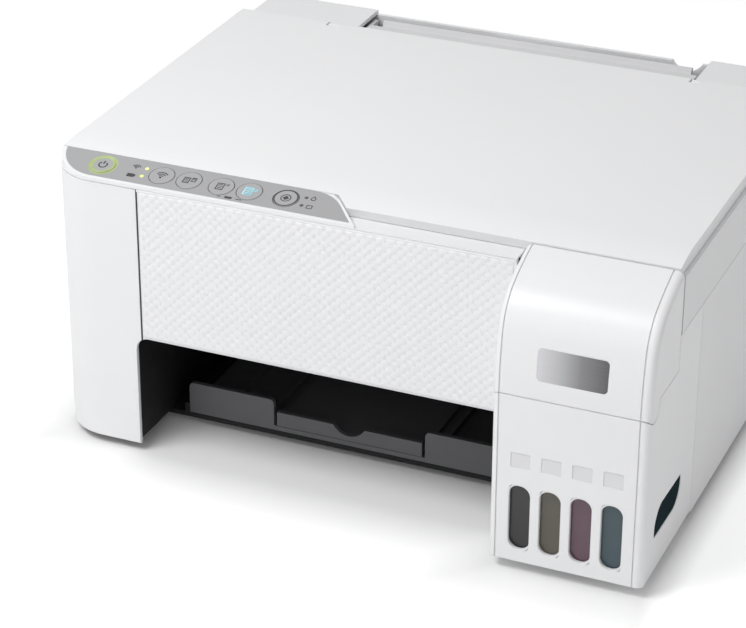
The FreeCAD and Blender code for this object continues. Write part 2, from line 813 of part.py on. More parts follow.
def cover_block(x, inset):
    """The space under the cover's outer surface moved inwards, between two places on the X axis."""
    reach = float(d.cover_depth)
    turn_sines = []
    slope = COVER_SLOPE
    for turn in COVER_TURNS:
        turn_sines.append(math.sin(slope + turn) - math.sin(slope))
        slope += turn
    scale = reach / sum(radius * rise for radius, rise in zip(COVER_RADII, turn_sines))
    slope = COVER_SLOPE
    low, high = float(x[0]), float(x[1])
    outside = Vector(0, float(cover_back), float(d.height - d.cover_drop))
    place = outside + Vector(0, inset * math.sin(slope), -inset * math.cos(slope))
    lines = []
    start = place
    for turn, radius in zip(COVER_TURNS, COVER_RADII):
        arc, place = arc_by_turn(place, slope, turn, radius * scale - inset)
        lines.append(arc)
        slope += turn
    foot = Vector(0, place.y, place.z - 40)
    heel = Vector(0, float(cover_back) + 5, foot.z)
    crown = Vector(0, heel.y, start.z + (heel.y - start.y) * math.tan(COVER_SLOPE))
    corners = [place, foot, heel, crown, start]
    lines += [Part.makeLine(a, b) for a, b in zip(corners, corners[1:])]
    side_view = Part.Face(Part.Wire(lines))
    side_view.translate(Vector(low, 0, 0))
    return side_view.extrude(Vector(high - low, 0, 0))


def solid_box(x, y, z):
    spans = [(float(low), float(high)) for low, high in (x, y, z)]
    block = Part.makeBox(*[high - low for low, high in spans])
    block.translate(Vector(*[low for low, high in spans]))
    return block


def solid_rod(x, centre, radius):
    start = Vector(float(x[0]), float(centre[0]), float(centre[1]))
    return Part.makeCylinder(float(radius), float(x[1]) - float(x[0]), start, Vector(1, 0, 0))


def in_front_of(solid, y):
    return solid.common(solid_box((left, right + 1), (front - 1, y), (0, d.height + 50)))


cover_x = (tank_left + d.seam, right)
inner_x = (cover_x[0] + d.cover_wall, cover_x[1] - d.cover_wall)
barrel_x = (inner_x[0] + d.seam * 2 + ear_thickness, inner_x[1] - d.seam * 2 - ear_thickness)
pivot = (pivot_y, pivot_z)
cover_outer = in_front_of(cover_block(cover_x, 0), cover_back)
side_edges = [
    edge for edge in cover_outer.Edges
    if (near(edge.CenterOfMass.x, cover_x[0]) or near(edge.CenterOfMass.x, cover_x[1]))
    and edge.BoundBox.YMin < float(cover_back) - 1 and edge.BoundBox.YMax > float(front) - 1
    and (edge.BoundBox.ZMax > float(d.cover_flap_bottom) + 0.1 or near(edge.BoundBox.YMax, front))
    and not near(edge.BoundBox.ZLength, 0)
]
cover_outer = cover_outer.makeFillet(float(d.cover_round), side_edges)
low_space = solid_box((left, right + 1), (front - 5, cover_back + 5), (0, d.cover_flap_bottom))
low_space = low_space.cut(solid_rod((left, right + 1), pivot, barrel))
inner_space = cover_block(inner_x, float(d.cover_wall)).cut(solid_rod(barrel_x, pivot, barrel))
cover_shell = cover_outer.cut(low_space).cut(inner_space)
for x in (groove_left, groove_right):
    groove_x = (x - 0.3, x + 0.3)
    cover_shell = cover_shell.cut(cover_block(groove_x, 0).cut(cover_block(groove_x, 0.5)))
pivot_pin_x = (inner_x[0] + d.seam, inner_x[1] - d.seam)
cover_shell = cover_shell.fuse(solid_rod(pivot_pin_x, pivot, 2)).removeSplitter()
badge_x0 = tank_left + d.tank_width / 2 - d.badge_width / 2
badge_plan = solid_box(
    (badge_x0, badge_x0 + d.badge_width), (front - 5, front + 12),
    (d.badge_bottom, d.badge_bottom + d.badge_height))
badge_plan = badge_plan.makeFillet(2.5, [e for e in badge_plan.Edges if near(e.BoundBox.YLength, 17)])
badge_slab = cover_block((left, right + 1), 0).cut(cover_block((left, right + 1), 0.5))
badge_plate = badge_plan.common(badge_slab)
piece("tank_cover", shaped("tank_cover", cover_shell.cut(badge_plate)))
piece("tank_badge", shaped("tank_badge", badge_plate))


# Scanner unit: tray, rim, glass, sensor and guide rod

rim_bottom = rim_top - d.rim_thickness
tray_bottom = scanner_seam + d.seam
scanner_front = face_in + 3.5
right_front = cover_back + d.lift_gap
left_front = column_back + d.lift_gap
scanner_outline = [
    (left, rear_wall_y),
    (right, rear_wall_y),
    (right, right_front),
    (slot_right, right_front),
    (slot_right, scanner_front),
    (left + d.corner_radius - 2.5, scanner_front),
    (left + 4, face + d.corner_radius + 1),
    (left + 4, left_front),
    (left, left_front),
]
scan_tray = pad("scan_tray", "XY", scanner_outline, (tray_bottom, rim_bottom))
round_body(
    scan_tray, d.heel_round,
    lambda m, run: abs(run.x) > 20 and near(m.y, rear_wall_y) and near(m.z, tray_bottom))
hollow_body(scan_tray, d.scanner_wall, lambda f: near(f.BoundBox.ZMin, rim_bottom))
tray_bosses = []
hinge_notches = []
hinge_pins = []
for side, name in ((-1, "left"), (1, "right")):
    x = side * (right - 37.5)
    tray_bosses.append(box(
        f"{name}_hinge_boss", (x - 12, x + 12), (scan_hinge_y - 6, rear_wall_y),
        (scan_hinge_z - 6, rim_bottom)))
    hinge_notches.append(box(
        f"{name}_hinge_notch", (x - 4.5, x + 4.5), (scan_hinge_y - 8, rear_wall_y + 5),
        (scan_hinge_z - 16, d.height + 20)))
    hinge_pins.append(rod(
        f"{name}_hinge_pin", "x", (x - 11, x + 11), (scan_hinge_y, scan_hinge_z), d.scan_pin_radius))
tray_notched = cut("tray_notched", join("tray_bossed", scan_tray, *tray_bosses), *hinge_notches)
piece("scanner_tray", join("scanner_tray", tray_notched, *hinge_pins))

wedge_slope = sine(d.panel_slope) / cosine(d.panel_slope)
wedge_depth = d.panel_border + d.panel_depth * cosine(d.panel_slope)
wedge_front_z = rim_top + 1.2
wedge_back = face + wedge_depth
wedge_back_z = wedge_front_z + wedge_depth * wedge_slope
ledge_bottom = front_top + d.seam
wedge_front_x = left + 193.3
wedge_back_x = left + 173
wedge_left = left + 1.5
wedge_plan = pad("wedge_plan", "XY", [
    (wedge_left, face),
    (wedge_front_x, face),
    (wedge_back_x, wedge_back),
    (wedge_left + 80, wedge_back),
    (wedge_left + 80, face + d.corner_radius * 2),
    (wedge_left, face + d.corner_radius * 2),
], (ledge_bottom, d.height + 10))
round_body(
    wedge_plan, d.corner_radius - 1.5,
    lambda m, run: upright(run) and near(m.x, wedge_left) and near(m.y, face))
round_body(wedge_plan, 12, lambda m, run: upright(run) and near(m.x, wedge_back_x) and near(m.y, wedge_back))
wedge_side = pad("wedge_side", "YZ", [
    (face, ledge_bottom),
    (face, wedge_front_z),
    (wedge_back, wedge_back_z),
    (wedge_back, ledge_bottom),
], (left, right))
wedge = common("wedge", wedge_plan, wedge_side)

ledge = pad("ledge", "XY", [
    (wedge_left, face),
    (slot_right, face),
    (slot_right, right_front + 4),
    (wedge_left + 80, right_front + 4),
    (wedge_left + 80, left_front + 4),
    (wedge_left, left_front + 4),
], (ledge_bottom, rim_top))
round_body(
    ledge, d.corner_radius - 1.5,
    lambda m, run: upright(run) and near(m.x, wedge_left) and near(m.y, face))

rim_plate = pad("rim_plate", "XY", scanner_outline, (rim_bottom, rim_top))
glass_back = rear_wall_y - 12
glass_half = right - d.glass_side_gap
glass_front = face + d.glass_front_gap
glass_window = box(
    "glass_window", (d.glass_hold - glass_half, glass_half - d.glass_hold),
    (glass_front + d.glass_hold, glass_back - d.glass_hold), (rim_bottom - 5, rim_top + 5))
lid_ears = []
lid_ear_bores = []
lid_notches = []
for side, name in ((-1, "left"), (1, "right")):
    x = side * (right - 67.5)
    lid_ears += [
        box(f"{name}_lid_ear", (x - 4, x + 4), (lid_hinge_y - 3, rear_wall_y), (rim_bottom, lid_hinge_z)),
        rod(f"{name}_lid_eye", "x", (x - 4, x + 4), (lid_hinge_y, lid_hinge_z), lid_half - 0.5),
        rod(f"{name}_lid_pin", "x", (x - 9, x + 9), (lid_hinge_y, lid_hinge_z), d.lid_pin_radius),
    ]
    lid_notches.append(box(
        f"{name}_lid_notch", (x - 4.4, x + 4.4), (lid_hinge_y - 5, back), (0, d.height + 20)))
    lid_ear_bores.append(rod(
        f"{name}_lid_bore", "x", (x - 10, x + 10), (lid_hinge_y, lid_hinge_z),
        d.lid_pin_radius + d.shaft_play))

panel_left = wedge_left + 3
panel_plan = pad("panel_plan", "XY", [
    (panel_left, face + d.panel_border),
    (wedge_front_x - 4.2, face + d.panel_border),
    (wedge_back_x - 2.6, wedge_back + 1),
    (panel_left + 80, wedge_back + 1),
    (panel_left + 80, face + d.corner_radius * 2),
    (panel_left, face + d.corner_radius * 2),
], (ledge_bottom, d.height + 10))
round_body(
    panel_plan, d.corner_radius - 4.5,
    lambda m, run: upright(run) and near(m.x, panel_left) and near(m.y, face + d.panel_border))
round_body(
    panel_plan, 13,
    lambda m, run: upright(run) and near(m.x, wedge_back_x - 2.6) and near(m.y, wedge_back + 1))
panel_drop = d.panel_thickness / cosine(d.panel_slope)
panel_side = pad("panel_side", "YZ", [
    (face, wedge_front_z - panel_drop),
    (face, wedge_front_z),
    (wedge_back, wedge_back_z),
    (wedge_back, wedge_back_z - panel_drop),
], (left, right))
panel_block = common("panel_block", panel_plan, panel_side)


def on_panel(x, along, depth):
    """A place on the sloping panel: along the slope from its front edge, and a depth below it."""
    y = face + along * cosine(d.panel_slope) + depth * sine(d.panel_slope)
    z = wedge_front_z + along * sine(d.panel_slope) - depth * cosine(d.panel_slope)
    return x, y, z


def panel_rod(name, x, along, radius, proud, depth):
    """A round post square to the panel, from a depth below its surface to a height above it."""
    post = doc.addObject("Part::Cylinder", name)
    bind(post, "Radius", radius)
    bind(post, "Height", as_size(proud) + depth)
    post.Placement = FreeCAD.Placement(Vector(), Rotation(Vector(1, 0, 0), float(d.panel_slope)))
    bind(post, "Placement.Rotation.Angle", d.panel_slope)
    for letter, place in zip("xyz", on_panel(x, along, depth)):
        bind(post, f"Placement.Base.{letter}", place)
    return post


button_row = d.panel_border + d.panel_depth / 2
button_places = {
    "power_button": left + 33.1,
    "wireless_button": left + 70.3,
    "status_button": left + 87.3,
    "mono_copy_button": left + 107.3,
    "colour_copy_button": left + 124.5,
    "stop_button": left + 146.7,
}
travel = 0.6
button_holes = []
for node, x in button_places.items():
    hole_depth = d.button_depth + travel + 0.2
    hole_radius = d.button_radius + d.button_gap
    button_holes.append(panel_rod(f"{node}_hole", x, button_row, hole_radius, 5, hole_depth))
    button = panel_rod(f"{node}_disc", x, button_row, d.button_radius, 0.3, d.button_depth)
    tip = on_panel(x, button_row, -0.3)
    piece(node, round_solid(
        node, button, 0.4,
        lambda m, run, tip=tip: (m - Vector(*[float(v) for v in tip])).Length < float(d.button_radius) + 0.05,
    ))
lamp_places = [
    (left + 59.3, button_row + 3.5),
    (left + 59.3, button_row - 3.5),
    (left + 157.6, button_row + 3.5),
    (left + 157.6, button_row - 3.5),
]
lamp_depth = 3
lamps = []
lamp_holes = []
for i, (x, along) in enumerate(lamp_places, start=1):
    lamps.append(panel_rod(f"lamp_{i}", x, along, 1.1, 0.1, lamp_depth))
    lamp_holes.append(panel_rod(f"lamp_hole_{i}", x, along, 1.1, 5, lamp_depth))
piece("status_lamps", group("status_lamps", *lamps))
piece("control_panel", cut("control_panel", panel_block, *button_holes, *lamp_holes))

rim_solid = join("rim_solid", rim_plate, ledge, wedge, *lid_ears)
rim_tools = [glass_window, *hinge_notches, panel_block, *button_holes, *lamp_holes]
piece("scanner_bezel", cut("scanner_bezel", rim_solid, *rim_tools))

piece("scanner_glass", box(
    "scanner_glass", (-glass_half, glass_half), (glass_front, glass_back),
    (rim_bottom - d.glass_thickness, rim_bottom)))

rod_y = (glass_front + glass_back) / 2
rod_z = tray_bottom + d.scanner_wall + d.rod_radius + 4
piece("scan_guide_rod", rod(
    "scan_guide_rod", "x", (left + d.scanner_wall, right - d.scanner_wall), (rod_y, rod_z), d.rod_radius))
sensor_x = (-glass_half, d.sensor_width - glass_half)
sensor_z = (rod_z + d.rod_radius + 1, rim_bottom - d.glass_thickness - 0.5)
sensor_bar = box("sensor_bar", sensor_x, (glass_front + 3, glass_back - 3), sensor_z)
sensor_shoe = box(
    "sensor_shoe", sensor_x, (rod_y - 9, rod_y + 9), (tray_bottom + d.scanner_wall + 1, sensor_z[0] + 0.5))
sensor_bore = rod(
    "sensor_bore", "x", (left, right), (rod_y, rod_z), d.rod_radius + d.shaft_play)
piece("scan_sensor", cut("scan_sensor", join("sensor_solid", sensor_bar, sensor_shoe), sensor_bore))


# Document lid and its pad

lid_front = cover_back + d.seam
lid_left = left + 2.2
lid_right = right - 2.2
lid_rear = lid_hinge_y + lid_half
slant = (wedge_back_x - wedge_front_x) / wedge_depth
lid_step_x = wedge_front_x + slant * (lid_front - face) + 1
lid_plan = pad("lid_plan", "XY", [
    (lid_left, lid_rear),
    (lid_right, lid_rear),
    (lid_right, lid_front),
    (lid_step_x, lid_front),
    (wedge_back_x + 1 + slant * d.seam, wedge_back + d.seam),
    (lid_left, wedge_back + d.seam),
], (lid_bottom, d.height + 1))
round_body(lid_plan, 5, lambda m, run: upright(run) and m.y > 0)


def lid_side_view():
    """The lid's section: a full round at the hinge, a flat top and a front that droops on an arc."""
    low, high = float(lid_bottom), float(d.height)
    middle, radius = float(lid_hinge_z), float(lid_half)
    hinge_y, edge_y = float(lid_hinge_y), float(lid_front)
    bend_y = edge_y + float(d.droop_length)
    bow = float(d.droop_radius)
    def drop(y):
        return bow - math.sqrt(bow * bow - (bend_y - y) ** 2)
    half_way = (bend_y + edge_y) / 2
    top_edge = Vector(0, edge_y, high - drop(edge_y))
    corners = [
        Vector(0, hinge_y, high),
        Vector(0, bend_y, high),
    ]
    lines = [
        Part.Arc(Vector(0, hinge_y, low), Vector(0, hinge_y + radius, middle), corners[0]).toShape(),
        Part.makeLine(*corners),
        Part.Arc(corners[1], Vector(0, half_way, high - drop(half_way)), top_edge).toShape(),
        Part.makeLine(top_edge, Vector(0, edge_y, low)),
        Part.makeLine(Vector(0, edge_y, low), Vector(0, hinge_y, low)),
    ]
    side_view = Part.Face(Part.Wire(lines))
    side_view.translate(Vector(float(left), 0, 0))
    return side_view.extrude(Vector(float(d.width), 0, 0))


lid_side = shaped("lid_side", lid_side_view())
pad_x = (d.glass_hold + 1 - glass_half, glass_half - d.glass_hold - 1)
pad_y = (glass_front + d.glass_hold + 1, glass_back - d.glass_hold - 1)
pad_top = d.height - d.lid_skin
pad_pocket = box("pad_pocket", pad_x, pad_y, (0, pad_top))
lid_blank = cut("lid_blank", common("lid_form", lid_plan, lid_side), pad_pocket, *lid_notches, *lid_ear_bores)
piece("document_lid", lid_blank)
piece("lid_pad", box("lid_pad", pad_x, pad_y, (rim_bottom + d.seam * 2, pad_top)))


# Paper path: frame walls, platen, rollers and gears

wall_top = d.path_height + 8
tunnel_top = d.slot_top - 2
tunnel_back = face + 77
exit_y = d.feed_y - 75 * d.gear_module
frame_back = d.feed_y + 28
frame_wall = [
    (face_in + d.seam, floor_top),
    (face_in + d.seam, tunnel_top),
    (tunnel_back, tunnel_top),
    (tunnel_back, wall_top),
    (frame_back, wall_top),
    (frame_back, floor_top),
]
frame_left_x = (slot_left - d.wall, slot_left)
frame_right_x = (slot_right - d.wall, slot_right)
idler_y = exit_y + 37.5 * d.gear_module
gear_x = (slot_left - d.wall - 8, slot_left - d.wall - 2)
idler_pin_radius = 2.5
tunnel_x = (slot_left - 1, slot_right - 1)
frame_solids = [
    pad("left_frame_wall", "YZ", frame_wall, frame_left_x),
    pad("right_frame_wall", "YZ", frame_wall, frame_right_x),
    box("tunnel_roof", tunnel_x, (face_in + 6, tunnel_back), (tunnel_top - 2, tunnel_top)),
    box("frame_cross", tunnel_x, (frame_back - d.wall, frame_back), (floor_top, d.path_height - 14)),
    rod("idler_pin", "x", (gear_x[0] - 1, slot_left - 1), (idler_y, d.path_height), idler_pin_radius),
]
frame_bores = [
    rod(f"{name}_bore", "x", (left, right), (y, d.path_height), d.roller_shaft_radius + d.shaft_play)
    for name, y in (("feed", d.feed_y), ("exit", exit_y))
]
piece("main_frame", cut("main_frame", join("frame_solid", *frame_solids), *frame_bores))

platen_x = (slot_left, slot_right - d.wall)
platen_y = (exit_y + 9, d.feed_y - 9)
platen_plate = box("platen_plate", platen_x, platen_y, (d.path_height - 3, d.path_height + 5))
rib_margin = 12
rib_pitch = (platen_x[1] - platen_x[0] - 2 * rib_margin - 2) / 9
platen_ribs = [
    box(f"platen_rib_{i}", (x, x + 2), platen_y, (d.path_height + 4.5, d.path_height + 6.5))
    for i, x in enumerate([slot_left + rib_margin + step * rib_pitch for step in range(10)], start=1)
]
piece("platen", join("platen", platen_plate, *platen_ribs))


def gear(name, teeth, x, centre, bore, half_step):
    """A spur gear with its axis along X; half_step turns it by half a tooth."""
    module = float(d.gear_module)
    pitch = module * teeth / 2
    step = 2 * math.pi / teeth
    y, z = (float(value) for value in centre)
    corners = []
    for k in range(teeth):
        middle = (k + (0.5 if half_step else 0)) * step
        for reach, share in ((-1.15, -0.29), (0.8, -0.12), (0.8, 0.12), (-1.15, 0.29)):
            radius = pitch + module * reach
            angle = middle + share * step
            rim = Vector(0, math.cos(angle), math.sin(angle)) * radius
            corners.append(Vector(float(x[0]), y, z) + rim)
    outline = Part.Face(Part.makePolygon(corners + corners[:1]))
    solid = outline.extrude(Vector(float(x[1]) - float(x[0]), 0, 0))
    if bore:
        solid = solid.cut(solid_rod((x[0] - 1, x[1] + 1), centre, bore))
    return shaped(name, solid)


FEED_TEETH = 36
IDLER_TEETH = 39
PINION_TEETH = 12
roller_x = (slot_left + 3, slot_right - d.wall - 3)
shaft_x = (gear_x[0], slot_right + 3)
for name, y, radius, half_step in (
    ("feed", d.feed_y, d.feed_roller_radius, False),
    ("exit", exit_y, d.exit_roller_radius, True),
):
    centre = (y, d.path_height)
    piece(f"{name}_roller", join(
        f"{name}_roller",
        rod(f"{name}_roll", "x", roller_x, centre, radius),
        rod(f"{name}_shaft", "x", shaft_x, centre, d.roller_shaft_radius),
        gear(f"{name}_gear", FEED_TEETH, gear_x, centre, None, half_step),
    ))
piece("idler_gear", gear(
    "idler_gear", IDLER_TEETH, gear_x, (idler_y, d.path_height),
    idler_pin_radius + float(d.shaft_play), True))
pinion_y = d.feed_y + d.gear_module * (FEED_TEETH + PINION_TEETH) / 2
motor_shaft_radius = 1.5
piece("motor_pinion", gear(
    "motor_pinion", PINION_TEETH, gear_x, (pinion_y, d.path_height),
    motor_shaft_radius + float(d.shaft_play), True))


# Carriage drive: chassis, shaft, belt, pulleys, motors and carriage

chassis_x = right - 15.5
plate_left = (-chassis_x, d.sheet_thickness - chassis_x)
plate_right = (chassis_x - d.sheet_thickness, chassis_x)
sheet_y = (d.feed_y + 14, d.feed_y + 14 + d.sheet_thickness)
chassis_top = scanner_seam - d.chassis_gap
plate_y = (d.feed_y - 25, d.feed_y + 40)
belt_z = d.carriage_bottom + 36
belt_y = (sheet_y[0] - 0.6 - d.belt_width, sheet_y[0] - 0.6)
drive_x = 18 - chassis_x
idler_x = chassis_x - 12
shaft_y = d.feed_y - 10
shaft_z = d.carriage_bottom + 16
feed_motor_x = (plate_left[1], gear_x[0] - 3)
chassis_solids = [
    box("rail_sheet", (-chassis_x, chassis_x), sheet_y, (chassis_top - 48, chassis_top)),
    box("left_end_plate", plate_left, plate_y, (floor_top, chassis_top)),
    box("right_end_plate", plate_right, plate_y, (floor_top, chassis_top)),
    rod("idler_stud", "y", (belt_y[0] - 0.4, sheet_y[1]), (idler_x, belt_z), motor_shaft_radius),
]
motor_hole = rod("motor_hole", "y", (sheet_y[0] - 1, sheet_y[1] + 1), (drive_x, belt_z), 3)
piece("chassis", join(
    "chassis", cut("rail_cut", chassis_solids[0], motor_hole), *chassis_solids[1:]))
piece("carriage_shaft", rod(
    "carriage_shaft", "x", (plate_left[1], plate_right[0]), (shaft_y, shaft_z), d.shaft_radius))
motor_can = rod("motor_can", "y", (sheet_y[1], sheet_y[1] + 26), (drive_x, belt_z), 13)
motor_spindle = rod(
    "motor_spindle", "y", (belt_y[0] - 0.4, sheet_y[1] + 5), (drive_x, belt_z), motor_shaft_radius)
piece("carriage_motor", join("carriage_motor", motor_can, motor_spindle))
feed_can = rod("feed_can", "x", feed_motor_x, (pinion_y, d.path_height), 12)
feed_spindle = rod(
    "feed_spindle", "x", (feed_motor_x[1] - 2, gear_x[1]), (pinion_y, d.path_height), motor_shaft_radius)
piece("feed_motor", join("feed_motor", feed_can, feed_spindle))


def belt_loop(name, y, radius):
    """A flat-sided ring round both pulley axes."""
    return join(
        name,
        box(f"{name}_run", (drive_x, idler_x), y, (belt_z - radius, belt_z + radius)),
        rod(f"{name}_left", "y", y, (drive_x, belt_z), radius),
        rod(f"{name}_right", "y", y, (idler_x, belt_z), radius),
    )


belt_inside = d.pulley_radius + d.shaft_play
belt_outer = belt_loop("belt_outer", belt_y, belt_inside + d.belt_thickness)
belt_inner = belt_loop("belt_inner", (belt_y[0] - 1, belt_y[1] + 1), belt_inside)
piece("carriage_belt", cut("carriage_belt", belt_outer, belt_inner))
for node, x in (("drive_pulley", drive_x), ("idler_pulley", idler_x)):
    wheel = rod(f"{node}_wheel", "y", (belt_y[0] - 0.2, belt_y[1] + 0.2), (x, belt_z), d.pulley_radius)
    eye_radius = motor_shaft_radius + d.shaft_play
    eye = rod(f"{node}_eye", "y", (belt_y[0] - 5, belt_y[1] + 5), (x, belt_z), eye_radius)
    piece(node, cut(node, wheel, eye))

carriage_right = plate_right[0] - 2
carriage_x = (carriage_right - d.carriage_length, carriage_right)
carriage_y = (shaft_y - 48, belt_y[0] - 0.8)
carriage_z = (d.carriage_bottom, d.carriage_bottom + d.carriage_height)
carriage_block = box("carriage_block", carriage_x, carriage_y, carriage_z)
carriage_well = box(
    "carriage_well", (carriage_x[0] + 4, carriage_x[1] - 4), (carriage_y[0] + 4, shaft_y - 9),
    (d.carriage_bottom + 22, d.carriage_bottom + 90))
carriage_bore = rod("carriage_bore", "x", (left, right), (shaft_y, shaft_z), d.shaft_radius + d.shaft_play)
piece("print_carriage", cut("print_carriage", carriage_block, carriage_well, carriage_bore))
piece("print_head", box(
    "print_head", (carriage_x[0] + 14, carriage_x[1] - 14), (shaft_y - 38, shaft_y - 6),
    (d.carriage_bottom - 3.5, d.carriage_bottom)))

station_x = (slot_right + 8, slot_right + 62)
station_block = box(
    "station_block", station_x, (shaft_y - 48, shaft_y + 10), (floor_top, d.carriage_bottom - 8))
station_cap = box(
    "station_cap", (station_x[0] + 8, station_x[1] - 14), (shaft_y - 40, shaft_y - 4),
    (d.carriage_bottom - 9, d.carriage_bottom - 4.5))
station_wall = 2
station_space = box(
    "station_space", (station_x[0] + station_wall, station_x[1] - station_wall),
    (shaft_y - 48 + station_wall, shaft_y + 10 - station_wall),
    (floor_top - 1, d.carriage_bottom - 9 - station_wall))
station_shell = cut("station_shell", station_block, station_space)
piece("maintenance_station", join("maintenance_station", station_shell, station_cap))


# Electrics

board_x = (inner_left + 5, inner_left + 6.6)
board_plate = box("board_plate", board_x, (d.feed_y, inner_back - 2), (floor_top, floor_top + 100))
socket_body = box("socket_body", (socket_x - 6.7, socket_x + 6.7), (back - 25, back - 0.3), (44.3, 57.7))
socket_bridge = box("socket_bridge", (board_x[1] - 0.5, socket_x - 6), (back - 25, inner_back - 2), (46, 56))
socket_mouth = box("socket_mouth", (socket_x - 4.5, socket_x + 4.5), (back - 12, back + 5), (47, 55))
chips = [
    box(f"chip_{i}", (board_x[1] - 0.5, board_x[1] + 2), (y, y + 18), (z, z + 18))
    for i, (y, z) in enumerate(((d.feed_y + 60, floor_top + 60), (d.feed_y + 90, floor_top + 30)), start=1)
]
board_solid = join("board_solid", board_plate, socket_body, socket_bridge, *chips)
piece("main_board", cut("main_board", board_solid, socket_mouth))
piece("power_supply", box(
    "power_supply", (inlet_x - 17, inner_right - 5), (d.feed_y + 46, back - 28), (floor_top, floor_top + 44)))
inlet_body = box("inlet_body", (inlet_x - 11.7, inlet_x + 11.7), (back - 28, back - 0.3), (22.3, 39.7))
inlet_mouth = [
    rod(f"inlet_mouth_{i}", "y", (back - 14, back + 5), (inlet_x + x, 31), 5.5)
    for i, x in enumerate((-4.2, 4.2), start=1)
]
inlet_prongs = [
    rod(f"inlet_prong_{i}", "y", (back - 15, back - 3), (inlet_x + x, 31), 1.2)
    for i, x in enumerate((-4.2, 4.2), start=1)
]
piece("ac_inlet", join("ac_inlet", cut("inlet_hollow", inlet_body, *inlet_mouth), *inlet_prongs))


doc.recompute()
failed = [thing.Name for thing in doc.Objects if "Invalid" in thing.State or "Error" in thing.State]
for node, thing in nodes.items():
    if thing.Shape.isNull() or not thing.Shape.isValid() or not thing.Shape.Solids:
        failed.append(node)
if failed:
    raise RuntimeError("failed objects: " + ", ".join(failed))
os.makedirs("parts", exist_ok=True)
for node, thing in nodes.items():
    thing.Shape.exportStep(f"parts/{node}.step")
print(len(nodes), "pieces written")
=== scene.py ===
"""Looks of the ink tank printer: materials, printed marks, front relief, lid pad, lights and camera."""
import math

import bmesh
import bpy
from mathutils import Matrix, Vector


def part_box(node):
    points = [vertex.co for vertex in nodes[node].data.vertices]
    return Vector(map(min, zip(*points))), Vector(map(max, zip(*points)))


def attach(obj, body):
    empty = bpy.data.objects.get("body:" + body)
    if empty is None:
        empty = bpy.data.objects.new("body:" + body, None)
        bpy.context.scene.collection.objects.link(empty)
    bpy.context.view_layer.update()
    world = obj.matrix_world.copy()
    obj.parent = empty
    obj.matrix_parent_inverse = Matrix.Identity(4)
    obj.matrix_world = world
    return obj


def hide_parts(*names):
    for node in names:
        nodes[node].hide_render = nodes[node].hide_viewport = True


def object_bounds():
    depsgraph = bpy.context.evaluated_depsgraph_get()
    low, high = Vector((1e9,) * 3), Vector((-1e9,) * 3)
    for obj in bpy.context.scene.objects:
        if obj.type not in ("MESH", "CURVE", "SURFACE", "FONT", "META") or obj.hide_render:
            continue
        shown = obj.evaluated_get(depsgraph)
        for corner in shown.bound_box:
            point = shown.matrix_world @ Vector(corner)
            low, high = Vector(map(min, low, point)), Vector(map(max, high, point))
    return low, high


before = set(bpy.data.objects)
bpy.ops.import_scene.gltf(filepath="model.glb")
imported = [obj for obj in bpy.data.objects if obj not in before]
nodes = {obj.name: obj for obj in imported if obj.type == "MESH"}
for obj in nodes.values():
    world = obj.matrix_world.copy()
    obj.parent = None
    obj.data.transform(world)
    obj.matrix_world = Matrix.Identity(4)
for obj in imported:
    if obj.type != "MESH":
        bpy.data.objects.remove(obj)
cad_low, cad_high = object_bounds()
MM = 0.001


# Node materials

